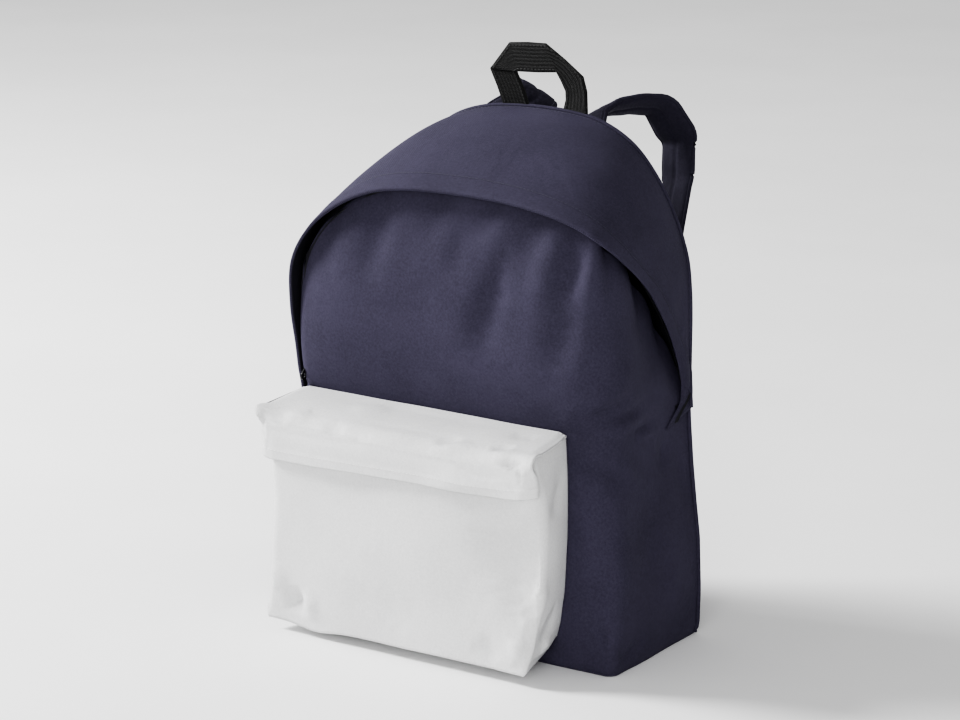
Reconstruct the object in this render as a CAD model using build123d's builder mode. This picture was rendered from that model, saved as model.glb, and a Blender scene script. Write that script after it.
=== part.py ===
from build123d import *
import math
import os

# School backpack. The front faces -Y, the shoulder straps are at +Y and +Z is up.
# The origin is the centre of the bag's base, and lengths are in millimetres.

# Driving dimensions of the bag
BASE_HALF = 157  # half width at the floor
WAIST_HALF = 147  # half width at the seam below the hood
WAIST_Z = 195  # height of that seam
SHOULDER_HALF = 147  # half width where the arch starts
BACK_TOP = 420  # height of the arch at the back
BACK_SHOULDER_Z = 310
BACK_SHOULDER_R = 75
FRONT_TOP = 374  # height of the arch at the hood's rim
FRONT_SHOULDER_Z = 318
FRONT_SHOULDER_R = 45
BACK_Y = 65  # outside of the back panel
FRONT_Y = -65  # outside of the front panel
RIM_Y = -75  # the hood stands out over the front panel
CLOTH = 2.0  # fabric with its lining
GAP = 0.2  # between pieces that are sewn together
CLEAR = 0.6  # between pieces that move past each other

# Layers, as distances inside the outer surface of the bag
FACING_INSET = CLOTH + GAP
FACING_T = 1.2
WEB_INSET = 8.0
WEB_T = 1.2
PANEL_INSET = 5.0
BACK_INSET = 3.4
FOAM_INSET = 11.4  # of the back's foam and its lining
BINDING_T = 1.0
BINDING_W = 9

# Front pocket
POCKET_LEFT = -140
POCKET_RIGHT = 115
POCKET_FRONT_Y = -120.4
POCKET_BOTTOM = 8
POCKET_TOP_BACK = 192
POCKET_TOP_FRONT = 187
POCKET_CLOTH = 1.6
POCKET_ZIP_Z = 163
FLAP_BACK_Y = -125.0
FLAP_HEM_Z = 148
FLAP_LEFT_RISE = 3  # the flap's hem is an arc that rises to its ends
FLAP_RIGHT_RISE = 6
POCKET_CORNER_R = 6

POCKET_PULL_L = 8
POCKET_PULL_W = 5
POCKET_PULL_EYE_R = 1.2

# Zips
TAPE_W = 6
TAPE_T = 1.0
CHAIN_GAP = 3.0  # channel between the tapes for the slider's post
SLIDER_L = 11
SLIDER_W = 9
PLATE_T = 1.6
POST_W = 2.2
PULL_T = 1.2
PIN_R = 1.2
PIN_HOLE_R = 1.5
PLATE_CORNER_R = 2.5
PULL_GAP = 0.8  # between a slider's plate and its pull
STOP_H = 2.4

# Left run of the main zip, where its slider travels
LEFT_RIM_Y = -70
LEFT_ZIP_Y = -50
LEFT_ZIP_LOW = 200
SLIDER_REST_Z = 216
MAIN_PULL_L = 22
MAIN_PULL_W = 7
MAIN_PULL_EYE_R = 2
MAIN_PULL_TILT = 50
RIGHT_ZIP_BACK = 10  # the right zip runs this far behind the hood's rim

# Grab handle
HANDLE_Y = 61.8
HANDLE_T = 2.4
HANDLE_FOOT_Z = 421.6

# Shoulder straps
STRAP_W = 36
STRAP_FOAM_T = 7.0
STRAP_SKIN_T = 1.0
STRAP_ROLL = 10.5  # degrees that each strap leans out towards its lower end
STRAP_SPLAY = 14  # degrees that each strap turns out as it leaves the back
STRAP_ROOT = (50, 76, 404)
WEBBING_W = 25
WEBBING_T = 1.8
LOCK_W = 34
LOCK_H = 22
LOCK_T = 5
LOCK_CORNER_R = 3
LOCK_SLOT_W = 27
LOCK_SLOT_H = 5.5
SLOT_HALF_STEP = 4.75
WEBBING_FOOT = (143, 69, 34)  # where each webbing leaves its corner tab
WEBBING_END = 6  # the webbing's free run stops this far below the ladder lock

os.makedirs("parts", exist_ok=True)


def finish(builder, name):
    builder.part.label = name
    export_step(builder.part, "parts/" + name + ".step")


def crown_radius(half, shoulder_z, top, shoulder_r):
    """Radius of the top arc that meets both shoulder arcs smoothly."""
    across = half - shoulder_r
    rise = top - shoulder_z
    return (across**2 + rise**2 - shoulder_r**2) / (2 * (rise - shoulder_r))


def arch(y, shoulder_z, top, shoulder_r, inset, base=0):
    """D-shaped cross section of the bag at one depth, drawn inside its outline by inset."""
    crown_r = crown_radius(SHOULDER_HALF, shoulder_z, top, shoulder_r)
    centre_x = SHOULDER_HALF - shoulder_r
    crown_z = top - crown_r
    along = math.atan2(shoulder_z - crown_z, centre_x)
    reach = shoulder_r - inset
    half_turn = along / 2
    joint = (centre_x + reach * math.cos(along), shoulder_z + reach * math.sin(along))
    knee = (centre_x + reach * math.cos(half_turn), shoulder_z + reach * math.sin(half_turn))
    side = (SHOULDER_HALF - inset, shoulder_z)
    waist = (WAIST_HALF - inset, WAIST_Z)
    foot = (BASE_HALF - inset, base + inset)
    with BuildSketch(Plane.XZ.offset(-y)) as sketch:
        with BuildLine():
            Line((0, base + inset), foot)
            Line(foot, waist)
            Line(waist, side)
            ThreePointArc(side, knee, joint)
            ThreePointArc(
                joint,
                (
                    (crown_r - inset) * math.sin((math.pi / 2 - along) / 2),
                    crown_z + (crown_r - inset) * math.cos((math.pi / 2 - along) / 2),
                ),
                (0, top - inset),
            )
            Line((0, top - inset), (0, base + inset))
        make_face()
        mirror(about=Plane.YZ)
    return sketch.sketch


def front_arch(y, inset):
    return arch(y, FRONT_SHOULDER_Z, FRONT_TOP, FRONT_SHOULDER_R, inset)


def back_arch(y, inset):
    return arch(y, BACK_SHOULDER_Z, BACK_TOP, BACK_SHOULDER_R, inset)


def envelope(inset):
    """The bag's outer form, or one inside it, from the hood's rim to the back."""
    with BuildPart() as form:
        loft([front_arch(RIM_Y, inset), back_arch(BACK_Y, inset)], ruled=True)
    return form.part


def block(x, y, z):
    """A box from its lowest and highest values on each axis, joined to nothing yet."""
    size = [b - a for a, b in (x, y, z)]
    middle = [(a + b) / 2 for a, b in (x, y, z)]
    return Pos(*middle) * Box(*size, mode=Mode.PRIVATE)


def side_profile(points, low_x, high_x):
    """A region drawn in side view (Y, Z), from low_x to high_x."""
    with BuildPart() as region:
        with BuildSketch(Plane.YZ.offset(low_x)):
            with BuildLine():
                Polyline(*points, close=True)
            make_face()
        extrude(amount=high_x - low_x)
    return region.part


def mirrored(piece):
    """The same piece on the other side of the bag."""
    with BuildPart() as other:
        add(piece.part)
        mirror(about=Plane.YZ, mode=Mode.REPLACE)
    return other


# The hood's rim in side view: on the right it runs back, on the left it runs down
FAR = 180
ABOVE = 440
HOOD_END_Z = WAIST_Z + GAP
RIM_CORNER_Z = 352
RIGHT_RIM = [(RIM_Y - 5, RIM_CORNER_Z), (-60, 342), (40, 238), (30, HOOD_END_Z)]
LEFT_RIM = [(RIM_Y - 5, RIM_CORNER_Z), (LEFT_RIM_Y, 335), (LEFT_RIM_Y, 214), (-62, HOOD_END_Z)]


def behind(rim, back_by, low_x, high_x):
    """Everything behind a rim line that is moved back by a distance along Y."""
    line = [(y + back_by, z) for y, z in rim]
    top_front = (RIM_Y - 5 + back_by, ABOVE)
    back_corners = [(BACK_Y + 5, HOOD_END_Z), (BACK_Y + 5, ABOVE)]
    return side_profile([top_front, *line, *back_corners], low_x, high_x)


def hood_region(back_by):
    return behind(LEFT_RIM, back_by, -FAR, 0) + behind(RIGHT_RIM, back_by, 0, FAR)


outer_form = envelope(0)
lined_form = envelope(CLOTH)
wall_y = (FRONT_Y, BACK_Y)
all_x = (-FAR, FAR)
all_y = (-FAR, FAR)

# ---------------------------------------------------------------- bag shell
with BuildPart() as base_panel:
    add(outer_form)
    add(block(all_x, wall_y, (0, CLOTH)), mode=Mode.INTERSECT)
finish(base_panel, "base_panel")

STIFFENER_T = 3
STIFFENER_L = 290
STIFFENER_W = 96
STIFFENER_CORNER_R = 12
with BuildPart() as base_stiffener:
    with BuildSketch(Plane.XY.offset(CLOTH + GAP)):
        RectangleRounded(STIFFENER_L, STIFFENER_W, STIFFENER_CORNER_R)
    extrude(amount=STIFFENER_T)
finish(base_stiffener, "base_stiffener")

with BuildPart() as tub_wrap:
    add(outer_form)
    add(block(all_x, wall_y, (CLOTH + GAP, WAIST_Z)), mode=Mode.INTERSECT)
    add(
        lined_form & block(all_x, (FRONT_Y + CLOTH, FAR), (0, FAR * 2)),
        mode=Mode.SUBTRACT,
    )
finish(tub_wrap, "tub_wrap")

hood_outside = hood_region(0)
with BuildPart() as hood:
    add(outer_form)
    add(lined_form, mode=Mode.SUBTRACT)
    add(hood_outside, mode=Mode.INTERSECT)
finish(hood, "hood")

HEM_W = 14
facing_band = hood_region(1) - hood_region(1 + HEM_W)
facing_form = envelope(FACING_INSET) - envelope(FACING_INSET + FACING_T)
with BuildPart() as hood_facing:
    add(facing_form)
    add(facing_band, mode=Mode.INTERSECT)
    add(block(all_x, all_y, (0, WAIST_Z + 19)), mode=Mode.SUBTRACT)
finish(hood_facing, "hood_facing")

FOAM_T = 8
with BuildPart() as back_panel:
    extrude(back_arch(BACK_Y, BACK_INSET), amount=CLOTH)
finish(back_panel, "back_panel")

with BuildPart() as back_foam:
    extrude(back_arch(BACK_Y - CLOTH - GAP, FOAM_INSET), amount=FOAM_T)
finish(back_foam, "back_foam")

with BuildPart() as back_lining:
    extrude(back_arch(BACK_Y - CLOTH - FOAM_T - 2 * GAP, FOAM_INSET), amount=FACING_T)
finish(back_lining, "back_lining")

# ------------------------------------------- front panel, side webs and main zip
PANEL_LOW = WAIST_Z + 1.2
with BuildPart() as front_panel:
    extrude(front_arch(FRONT_Y + CLOTH, PANEL_INSET), amount=CLOTH)
    add(block(all_x, all_y, (0, PANEL_LOW)), mode=Mode.SUBTRACT)
finish(front_panel, "front_panel")

# The panel's own half of the zip runs along its top edge and folds forward with it
SIDE_TOP = FRONT_SHOULDER_Z  # the sides are straight up to here
TAPE_FRONT_Y = FRONT_Y + CLOTH + GAP
below_corners = block(all_x, all_y, (0, SIDE_TOP + 1))
tape_back_y = TAPE_FRONT_Y + TAPE_W
with BuildPart() as panel_zip_tape:
    extrude(front_arch(tape_back_y, PANEL_INSET), amount=TAPE_W)
    extrude(front_arch(tape_back_y, PANEL_INSET + TAPE_T), amount=TAPE_W, mode=Mode.SUBTRACT)
    add(below_corners, mode=Mode.SUBTRACT)
finish(panel_zip_tape, "panel_zip_tape")

# Side webs: the wrap's soft sides, between the front panel and the zip
web_form = envelope(WEB_INSET) - envelope(WEB_INSET + WEB_T)
tape_form = envelope(WEB_INSET) - envelope(WEB_INSET + TAPE_T)
side_z = (WAIST_Z + GAP, SIDE_TOP)
web_front_y = FRONT_Y + CLOTH + 2 * GAP
half_chain = CHAIN_GAP / 2
left_side = block((-FAR, 0), (web_front_y, LEFT_ZIP_Y - half_chain - TAPE_W - GAP), side_z)
right_side = block((0, FAR), (web_front_y, FAR), side_z)
right_zip_start = RIGHT_ZIP_BACK - half_chain - TAPE_W

with BuildPart() as left_side_web:
    add(web_form)
    add(left_side, mode=Mode.INTERSECT)
finish(left_side_web, "left_side_web")

past_right_web = behind(RIGHT_RIM, right_zip_start - GAP, 0, FAR)
with BuildPart() as right_side_web:
    add(web_form)
    add(right_side, mode=Mode.INTERSECT)
    add(past_right_web, mode=Mode.SUBTRACT)
finish(right_side_web, "right_side_web")

left_tape_y = (LEFT_ZIP_Y - half_chain - TAPE_W, LEFT_ZIP_Y - half_chain)
tape_z = (LEFT_ZIP_LOW, SIDE_TOP)
with BuildPart() as left_web_zip_tape:
    add(tape_form)
    add(block((-FAR, 0), left_tape_y, tape_z), mode=Mode.INTERSECT)
finish(left_web_zip_tape, "left_web_zip_tape")


def right_zip_band(start):
    """A strip along the right rim line, one tape wide, starting this far behind it."""
    return behind(RIGHT_RIM, start, 0, FAR) - behind(RIGHT_RIM, start + TAPE_W, 0, FAR)


right_web_band = right_zip_band(right_zip_start)
right_hood_band = right_zip_band(RIGHT_ZIP_BACK + half_chain)
with BuildPart() as right_web_zip_tape:
    add(tape_form)
    add(right_web_band, mode=Mode.INTERSECT)
    add(block((0, FAR), all_y, tape_z), mode=Mode.INTERSECT)
finish(right_web_zip_tape, "right_web_zip_tape")

# The hood's half of the zip: one piece per straight side and one over the top
hood_tape_y = TAPE_FRONT_Y + TAPE_W + CHAIN_GAP
top_inset = FACING_INSET + FACING_T + GAP
top_form = envelope(top_inset) - envelope(top_inset + TAPE_T)
top_band = block(all_x, (hood_tape_y, hood_tape_y + TAPE_W), (SIDE_TOP + 1, ABOVE))
with BuildPart() as hood_zip_tape:
    add(top_form)
    add(top_band, mode=Mode.INTERSECT)
finish(hood_zip_tape, "hood_zip_tape")

left_hood_y = (LEFT_ZIP_Y + half_chain, LEFT_ZIP_Y + half_chain + TAPE_W)
flange_x = (SHOULDER_HALF - WEB_INSET - WEB_T, SHOULDER_HALF - CLOTH - GAP)
with BuildPart() as left_hood_zip_tape:
    add(tape_form)
    add(block((-FAR, 0), left_hood_y, tape_z), mode=Mode.INTERSECT)
    add(block((-flange_x[1], -flange_x[0]), (left_hood_y[1], left_hood_y[1] + WEB_T), tape_z))
finish(left_hood_zip_tape, "left_hood_zip_tape")

with BuildPart() as right_hood_zip_tape:
    add(tape_form)
    add(right_hood_band, mode=Mode.INTERSECT)
    add(block((0, FAR), (-FAR, BACK_Y - CLOTH - GAP), tape_z), mode=Mode.INTERSECT)
finish(right_hood_zip_tape, "right_hood_zip_tape")

web_outside = SHOULDER_HALF - WEB_INSET
stop_x = (-web_outside - GAP - STOP_H / 2, -web_outside - GAP)
stop_y = (left_tape_y[0] + GAP, left_hood_y[1] - GAP)
with BuildPart() as main_zip_stop:
    add(block(stop_x, stop_y, (LEFT_ZIP_LOW, LEFT_ZIP_LOW + STOP_H)))
finish(main_zip_stop, "main_zip_stop")

# The slider: two plates, joined by a post that runs in the channel between the tapes
outer_plate_x = (-web_outside - CLEAR - PLATE_T, -web_outside - CLEAR)
inner_plate_x = (-web_outside + TAPE_T + CLEAR, -web_outside + TAPE_T + CLEAR + PLATE_T)
slider_z = (SLIDER_REST_Z - SLIDER_L / 2, SLIDER_REST_Z + SLIDER_L / 2)
slider_y = (LEFT_ZIP_Y - SLIDER_W / 2, LEFT_ZIP_Y + SLIDER_W / 2)
post_y = (LEFT_ZIP_Y - POST_W / 2, LEFT_ZIP_Y + POST_W / 2)
pull_x = outer_plate_x[0] - PULL_GAP - PULL_T
on_its_base = (Align.CENTER, Align.CENTER, Align.MIN)
with BuildPart() as main_zip_slider:
    add(block(outer_plate_x, slider_y, slider_z))
    add(block(inner_plate_x, slider_y, slider_z))
    fillet(main_zip_slider.edges().filter_by(Axis.X), PLATE_CORNER_R)
    add(block((outer_plate_x[0], inner_plate_x[1]), post_y, slider_z))
    with Locations(Plane.YZ.offset(pull_x - GAP)):
        with Locations((LEFT_ZIP_Y, SLIDER_REST_Z)):
            Cylinder(PIN_R, outer_plate_x[0] - pull_x + GAP, align=on_its_base)
finish(main_zip_slider, "main_zip_slider")


def pull_tab(plane, length, width, eye_r):
    """A flat zip pull from its pin hole, at the plane's origin, along the plane's x axis."""
    with BuildPart() as tab:
        with BuildSketch(plane):
            with Locations((length / 2, 0)):
                SlotCenterToCenter(length, width)
            Circle(PIN_HOLE_R, mode=Mode.SUBTRACT)
            with Locations((length, 0)):
                Circle(eye_r, mode=Mode.SUBTRACT)
        extrude(amount=PULL_T)
    return tab


tilt = math.radians(MAIN_PULL_TILT)
main_pull_plane = Plane(
    origin=(pull_x, LEFT_ZIP_Y, SLIDER_REST_Z),
    x_dir=(0, -math.sin(tilt), -math.cos(tilt)),
    z_dir=(1, 0, 0),
)
main_zip_pull = pull_tab(main_pull_plane, MAIN_PULL_L, MAIN_PULL_W, MAIN_PULL_EYE_R)
finish(main_zip_pull, "main_zip_pull")

# ---------------------------------------------------------------- front pocket
pocket_x = (POCKET_LEFT, POCKET_RIGHT)
pocket_back_y = FRONT_Y - GAP
front_back_y = POCKET_FRONT_Y + POCKET_CLOTH
TOP_LIP_Y = FLAP_BACK_Y + CLEAR
band_low = POCKET_ZIP_Z - half_chain - TAPE_W
band_high = POCKET_ZIP_Z + half_chain + TAPE_W
top_drop = POCKET_CLOTH + GAP

gusset_outside = side_profile(
    [
        (pocket_back_y, POCKET_BOTTOM),
        (front_back_y + GAP, POCKET_BOTTOM),
        (front_back_y + GAP, POCKET_TOP_FRONT - top_drop),
        (pocket_back_y, POCKET_TOP_BACK - top_drop),
    ],
    *pocket_x,
)
with BuildPart() as pocket_gusset:
    add(gusset_outside)
    add(
        block(
            (POCKET_LEFT + POCKET_CLOTH, POCKET_RIGHT - POCKET_CLOTH),
            (-FAR, 0),
            (POCKET_BOTTOM + POCKET_CLOTH, FAR * 2),
        ),
        mode=Mode.SUBTRACT,
    )
finish(pocket_gusset, "pocket_gusset")

with BuildPart() as pocket_front:
    add(block(pocket_x, (POCKET_FRONT_Y, front_back_y), (POCKET_BOTTOM, band_low - GAP)))
    fillet(pocket_front.edges().filter_by(Axis.Y).group_by(Axis.Z)[0], POCKET_CORNER_R)
finish(pocket_front, "pocket_front")

header_top = POCKET_TOP_FRONT - top_drop
with BuildPart() as pocket_header:
    add(block(pocket_x, (POCKET_FRONT_Y, front_back_y), (band_high + GAP, header_top)))
finish(pocket_header, "pocket_header")

top_region = side_profile(
    [
        (pocket_back_y, POCKET_TOP_BACK - POCKET_CLOTH),
        (pocket_back_y, POCKET_TOP_BACK),
        (TOP_LIP_Y, POCKET_TOP_FRONT),
        (TOP_LIP_Y, POCKET_TOP_FRONT - POCKET_CLOTH),
    ],
    *pocket_x,
)
with BuildPart() as pocket_top:
    add(top_region)
finish(pocket_top, "pocket_top")

flap_top = POCKET_TOP_FRONT - 0.4
flap_left = POCKET_LEFT + 2
flap_right = POCKET_RIGHT - 2
with BuildPart() as pocket_flap:
    with BuildSketch(Plane.XZ.offset(-FLAP_BACK_Y)):
        with BuildLine():
            hem = ThreePointArc(
                (flap_left, FLAP_HEM_Z + FLAP_LEFT_RISE),
                ((flap_left + flap_right) / 2, FLAP_HEM_Z),
                (flap_right, FLAP_HEM_Z + FLAP_RIGHT_RISE),
            )
            Line(hem @ 1, (flap_right, flap_top))
            Line((flap_right, flap_top), (flap_left, flap_top))
            Line((flap_left, flap_top), hem @ 0)
        make_face()
    extrude(amount=POCKET_CLOTH)
finish(pocket_flap, "pocket_flap")

tape_y = (POCKET_FRONT_Y + 0.6, POCKET_FRONT_Y + 0.6 + TAPE_T)
tape_x = (POCKET_LEFT + POCKET_CLOTH + GAP, POCKET_RIGHT - POCKET_CLOTH - GAP)
with BuildPart() as pocket_zip_tape_low:
    add(block(tape_x, tape_y, (band_low, band_low + TAPE_W)))
finish(pocket_zip_tape_low, "pocket_zip_tape_low")

with BuildPart() as pocket_zip_tape_high:
    add(block(tape_x, tape_y, (band_high - TAPE_W, band_high)))
finish(pocket_zip_tape_high, "pocket_zip_tape_high")

# Each stop bridges the two tapes, behind them, at one end of the zip
with BuildPart() as pocket_zip_stops:
    for stop_low in (tape_x[0] + GAP, tape_x[1] - GAP - STOP_H):
        add(
            block(
                (stop_low, stop_low + STOP_H),
                (tape_y[1] + GAP, tape_y[1] + GAP + STOP_H / 2),
                (POCKET_ZIP_Z - 4, POCKET_ZIP_Z + 4),
            )
        )
finish(pocket_zip_stops, "pocket_zip_stops")

POCKET_SLIDER_X = POCKET_LEFT + 12
pocket_slider_x = (POCKET_SLIDER_X - SLIDER_L / 2, POCKET_SLIDER_X + SLIDER_L / 2)
pocket_slider_z = (POCKET_ZIP_Z - SLIDER_W / 2, POCKET_ZIP_Z + SLIDER_W / 2)
pocket_outer_y = (tape_y[0] - CLEAR - PLATE_T, tape_y[0] - CLEAR)
pocket_inner_y = (tape_y[1] + CLEAR, tape_y[1] + CLEAR + PLATE_T)
pocket_post_z = (POCKET_ZIP_Z - POST_W / 2, POCKET_ZIP_Z + POST_W / 2)
pocket_pull_y = pocket_outer_y[0] - CLEAR
with BuildPart() as pocket_zip_slider:
    add(block(pocket_slider_x, pocket_outer_y, pocket_slider_z))
    add(block(pocket_slider_x, pocket_inner_y, pocket_slider_z))
    fillet(pocket_zip_slider.edges().filter_by(Axis.Y), PLATE_CORNER_R)
    add(block(pocket_slider_x, (pocket_outer_y[0], pocket_inner_y[1]), pocket_post_z))
    with Locations(Plane.XZ.offset(-pocket_outer_y[0])):
        with Locations((POCKET_SLIDER_X, POCKET_ZIP_Z)):
            Cylinder(PIN_R, CLEAR + PULL_T, align=on_its_base)
finish(pocket_zip_slider, "pocket_zip_slider")

pocket_pull_plane = Plane(
    origin=(POCKET_SLIDER_X, pocket_pull_y, POCKET_ZIP_Z), x_dir=(0, 0, -1), z_dir=(0, -1, 0)
)
pocket_zip_pull = pull_tab(pocket_pull_plane, POCKET_PULL_L, POCKET_PULL_W, POCKET_PULL_EYE_R)
finish(pocket_zip_pull, "pocket_zip_pull")

# ---------------------------------------------------------------- grab handle
HANDLE_OUTSIDE = [
    (47, HANDLE_FOOT_Z),
    (43, 449),
    (7, 473),
    (-26, 471),
    (-45, 447),
    (-37, HANDLE_FOOT_Z),
]
HANDLE_INSIDE = [(-12, HANDLE_FOOT_Z), (-20, 447), (19, 451), (27, 437), (25, HANDLE_FOOT_Z)]
with BuildPart() as grab_handle:
    with BuildSketch(Plane.XZ.offset(-HANDLE_Y - HANDLE_T / 2)):
        with BuildLine():
            Polyline(*HANDLE_OUTSIDE, *HANDLE_INSIDE, close=True)
        make_face()
    extrude(amount=HANDLE_T)
finish(grab_handle, "grab_handle")

TAB_T = 1.6
ANCHOR_X = ((-30, -8), (8, 30))
ANCHOR_Z = (397, 411)
YOKE_X = (-80, 80)
YOKE_Z = (376, 388)


def on_back(thickness):
    """The Y range of a piece of this thickness that is sewn onto the back panel."""
    return (BACK_Y + GAP, BACK_Y + GAP + thickness)


with BuildPart() as handle_anchor_tabs:
    for tab_x in ANCHOR_X:
        add(block(tab_x, on_back(TAB_T), ANCHOR_Z))
finish(handle_anchor_tabs, "handle_anchor_tabs")

with BuildPart() as strap_yoke:
    add(block(YOKE_X, on_back(FACING_T), YOKE_Z))
finish(strap_yoke, "strap_yoke")

binding_form = envelope(FACING_INSET) - envelope(FACING_INSET + BINDING_T)
binding_y = (BACK_Y - BINDING_W, BACK_Y - CLOTH - 2 * GAP)
with BuildPart() as back_seam_binding:
    add(binding_form)
    add(block(all_x, binding_y, (CLOTH + GAP, ABOVE)), mode=Mode.INTERSECT)
finish(back_seam_binding, "back_seam_binding")

# ------------------------------------------------------------- shoulder straps
# A strap is drawn in its own nearly upright plane, from its root: how far back, how far up
roll = math.radians(STRAP_ROLL)
splay = math.radians(STRAP_SPLAY)
strap_plane = Plane(
    origin=STRAP_ROOT,
    x_dir=(math.sin(splay), math.cos(splay), 0),
    z_dir=(math.cos(splay) * math.cos(roll), -math.sin(splay) * math.cos(roll), math.sin(roll)),
)
STRAP_LINE = [
    (0, 0),
    (12, 15),
    (33, 24),
    (59, 20),
    (80, -14),
    (76, -49),
    (58, -88),
    (34, -167),
    (21, -257),
]
STRAP_BEND_R = 12


def parallel(points, distance):
    """A line beside another one, at a distance to its left, with mitred corners."""
    line = [Vector(*p) for p in points]
    runs = [(b - a).normalized() for a, b in zip(line, line[1:])]
    sides = [Vector(-run.Y, run.X) for run in runs]
    beside = [line[0] + sides[0] * distance]
    for point, before, after in zip(line[1:], sides, sides[1:]):
        mitre = (before + after).normalized()
        beside.append(point + mitre * (distance / mitre.dot(before)))
    beside.append(line[-1] + sides[-1] * distance)
    return beside


def bend_radii(points, distance):
    """Radius at each corner of the line that runs beside the strap's middle line."""
    line = [Vector(*p) for p in points]
    radii = []
    for a, b, c in zip(line, line[1:], line[2:]):
        turns_left = (b - a).cross(c - b).Z > 0
        radii.append(STRAP_BEND_R - distance if turns_left else STRAP_BEND_R + distance)
    return radii


def strap_layer(low, high):
    """One layer of the right strap, between two distances from its middle line."""
    with BuildPart() as strap:
        with BuildSketch(strap_plane.offset(-STRAP_W / 2)):
            with BuildLine():
                near, far = [
                    FilletPolyline(*parallel(STRAP_LINE, side), radius=bend_radii(STRAP_LINE, side))
                    for side in (low, high)
                ]
                Line(near @ 0, far @ 0)
                Line(near @ 1, far @ 1)
            make_face()
        extrude(amount=STRAP_W)
    return strap


foam_half = STRAP_FOAM_T / 2
lock_middle = STRAP_LINE[-1][1] - 14  # height of the ladder lock's centre below the root
lock_y = STRAP_LINE[-1][0] - 2
lock_plane = Plane(
    origin=strap_plane.from_local_coords((lock_y - LOCK_T / 2, lock_middle, 0)),
    x_dir=strap_plane.z_dir,
    z_dir=strap_plane.x_dir,
)

right_strap_face = strap_layer(foam_half, foam_half + STRAP_SKIN_T)
right_strap_foam = strap_layer(-foam_half, foam_half)
right_strap_lining = strap_layer(-foam_half - STRAP_SKIN_T, -foam_half)

with BuildPart() as right_ladder_lock:
    with BuildSketch(lock_plane):
        RectangleRounded(LOCK_W, LOCK_H, LOCK_CORNER_R)
        with Locations((0, -SLOT_HALF_STEP), (0, SLOT_HALF_STEP)):
            SlotOverall(LOCK_SLOT_W, LOCK_SLOT_H, mode=Mode.SUBTRACT)
    extrude(amount=LOCK_T)

# A loop of webbing holds the ladder lock's top bar to the end of the strap
bar_low = lock_middle + SLOT_HALF_STEP + LOCK_SLOT_H / 2
bar_high = lock_middle + LOCK_H / 2
loop_inside = (LOCK_T + 2 * CLEAR, bar_high - bar_low + 2 * CLEAR)
with BuildPart() as right_lock_loop:
    with BuildSketch(strap_plane.offset(-WEBBING_W / 2)):
        with Locations((lock_y, (bar_low + bar_high) / 2)):
            Rectangle(loop_inside[0] + 2 * WEBBING_T, loop_inside[1] + 2 * WEBBING_T)
            Rectangle(*loop_inside, mode=Mode.SUBTRACT)
    extrude(amount=WEBBING_W)

# The adjusting webbing runs from the bag's lower corner up to the ladder lock
webbing_low = Vector(*WEBBING_FOOT)
webbing_high = strap_plane.from_local_coords((lock_y, lock_middle - LOCK_H / 2 - WEBBING_END, 0))
webbing_run = webbing_high - webbing_low
webbing_dir = webbing_run.normalized()
outward = Vector(0, 1, 0)
webbing_normal = (outward - webbing_dir * webbing_dir.dot(outward)).normalized()
webbing_plane = Plane(origin=webbing_low, x_dir=webbing_dir, z_dir=webbing_normal)
with BuildPart() as right_webbing:
    with BuildSketch(webbing_plane.offset(-WEBBING_T / 2)):
        with Locations((webbing_run.length / 2, 0)):
            Rectangle(webbing_run.length, WEBBING_W)
    extrude(amount=WEBBING_T)

with BuildPart() as right_corner_tab:
    with BuildSketch(Plane.XZ.offset(-BACK_Y - GAP - TAB_T)):
        with BuildLine():
            Polyline((BASE_HALF - 3, 12), (BASE_HALF - 5, 54), (124, 40), (130, 20), close=True)
        make_face()
    extrude(amount=TAB_T)

RIGHT_PIECES = {
    "strap_face": right_strap_face,
    "strap_foam": right_strap_foam,
    "strap_lining": right_strap_lining,
    "ladder_lock": right_ladder_lock,
    "lock_loop": right_lock_loop,
    "webbing": right_webbing,
    "corner_tab": right_corner_tab,
}
for piece_name, piece in RIGHT_PIECES.items():
    finish(piece, "right_" + piece_name)
    finish(mirrored(piece), "left_" + piece_name)
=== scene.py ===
import math

import bmesh
import bpy
import numpy as np
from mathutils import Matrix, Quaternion, Vector


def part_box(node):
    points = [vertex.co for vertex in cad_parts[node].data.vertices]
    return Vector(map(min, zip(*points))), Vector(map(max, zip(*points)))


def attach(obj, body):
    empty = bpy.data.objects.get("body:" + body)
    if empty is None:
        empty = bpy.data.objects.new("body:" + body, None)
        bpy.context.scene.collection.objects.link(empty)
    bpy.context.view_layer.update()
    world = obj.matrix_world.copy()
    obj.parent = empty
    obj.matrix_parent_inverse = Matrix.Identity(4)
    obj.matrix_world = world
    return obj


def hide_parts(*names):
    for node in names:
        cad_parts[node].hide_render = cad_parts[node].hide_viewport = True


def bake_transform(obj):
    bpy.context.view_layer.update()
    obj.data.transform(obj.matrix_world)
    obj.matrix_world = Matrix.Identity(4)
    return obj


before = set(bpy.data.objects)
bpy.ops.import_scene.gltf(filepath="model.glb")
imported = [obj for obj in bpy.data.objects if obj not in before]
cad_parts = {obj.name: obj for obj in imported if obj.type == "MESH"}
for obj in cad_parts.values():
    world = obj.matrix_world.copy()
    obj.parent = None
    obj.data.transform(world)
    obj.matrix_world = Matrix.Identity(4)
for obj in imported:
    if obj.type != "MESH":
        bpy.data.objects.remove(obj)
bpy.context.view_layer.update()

# Lengths are in millimetres until a mesh is written, and X, Y, Z are those of the frame.
MM = 0.001
UP = np.array([0.0, 0.0, 1.0])
BACKWARD = (0.0, 1.0, 0.0)
FORWARD = (0.0, -1.0, 0.0)


def limits(node):
    """Lowest and highest corner of a CAD node, in millimetres."""
    low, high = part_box(node)
    return np.array(low) / MM, np.array(high) / MM


BASE_LOW, BASE_HIGH = limits("base_panel")
FRONT_Y = BASE_LOW[1]
BACK_Y = BASE_HIGH[1]
WAIST_Z = limits("tub_wrap")[1][2]


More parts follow.
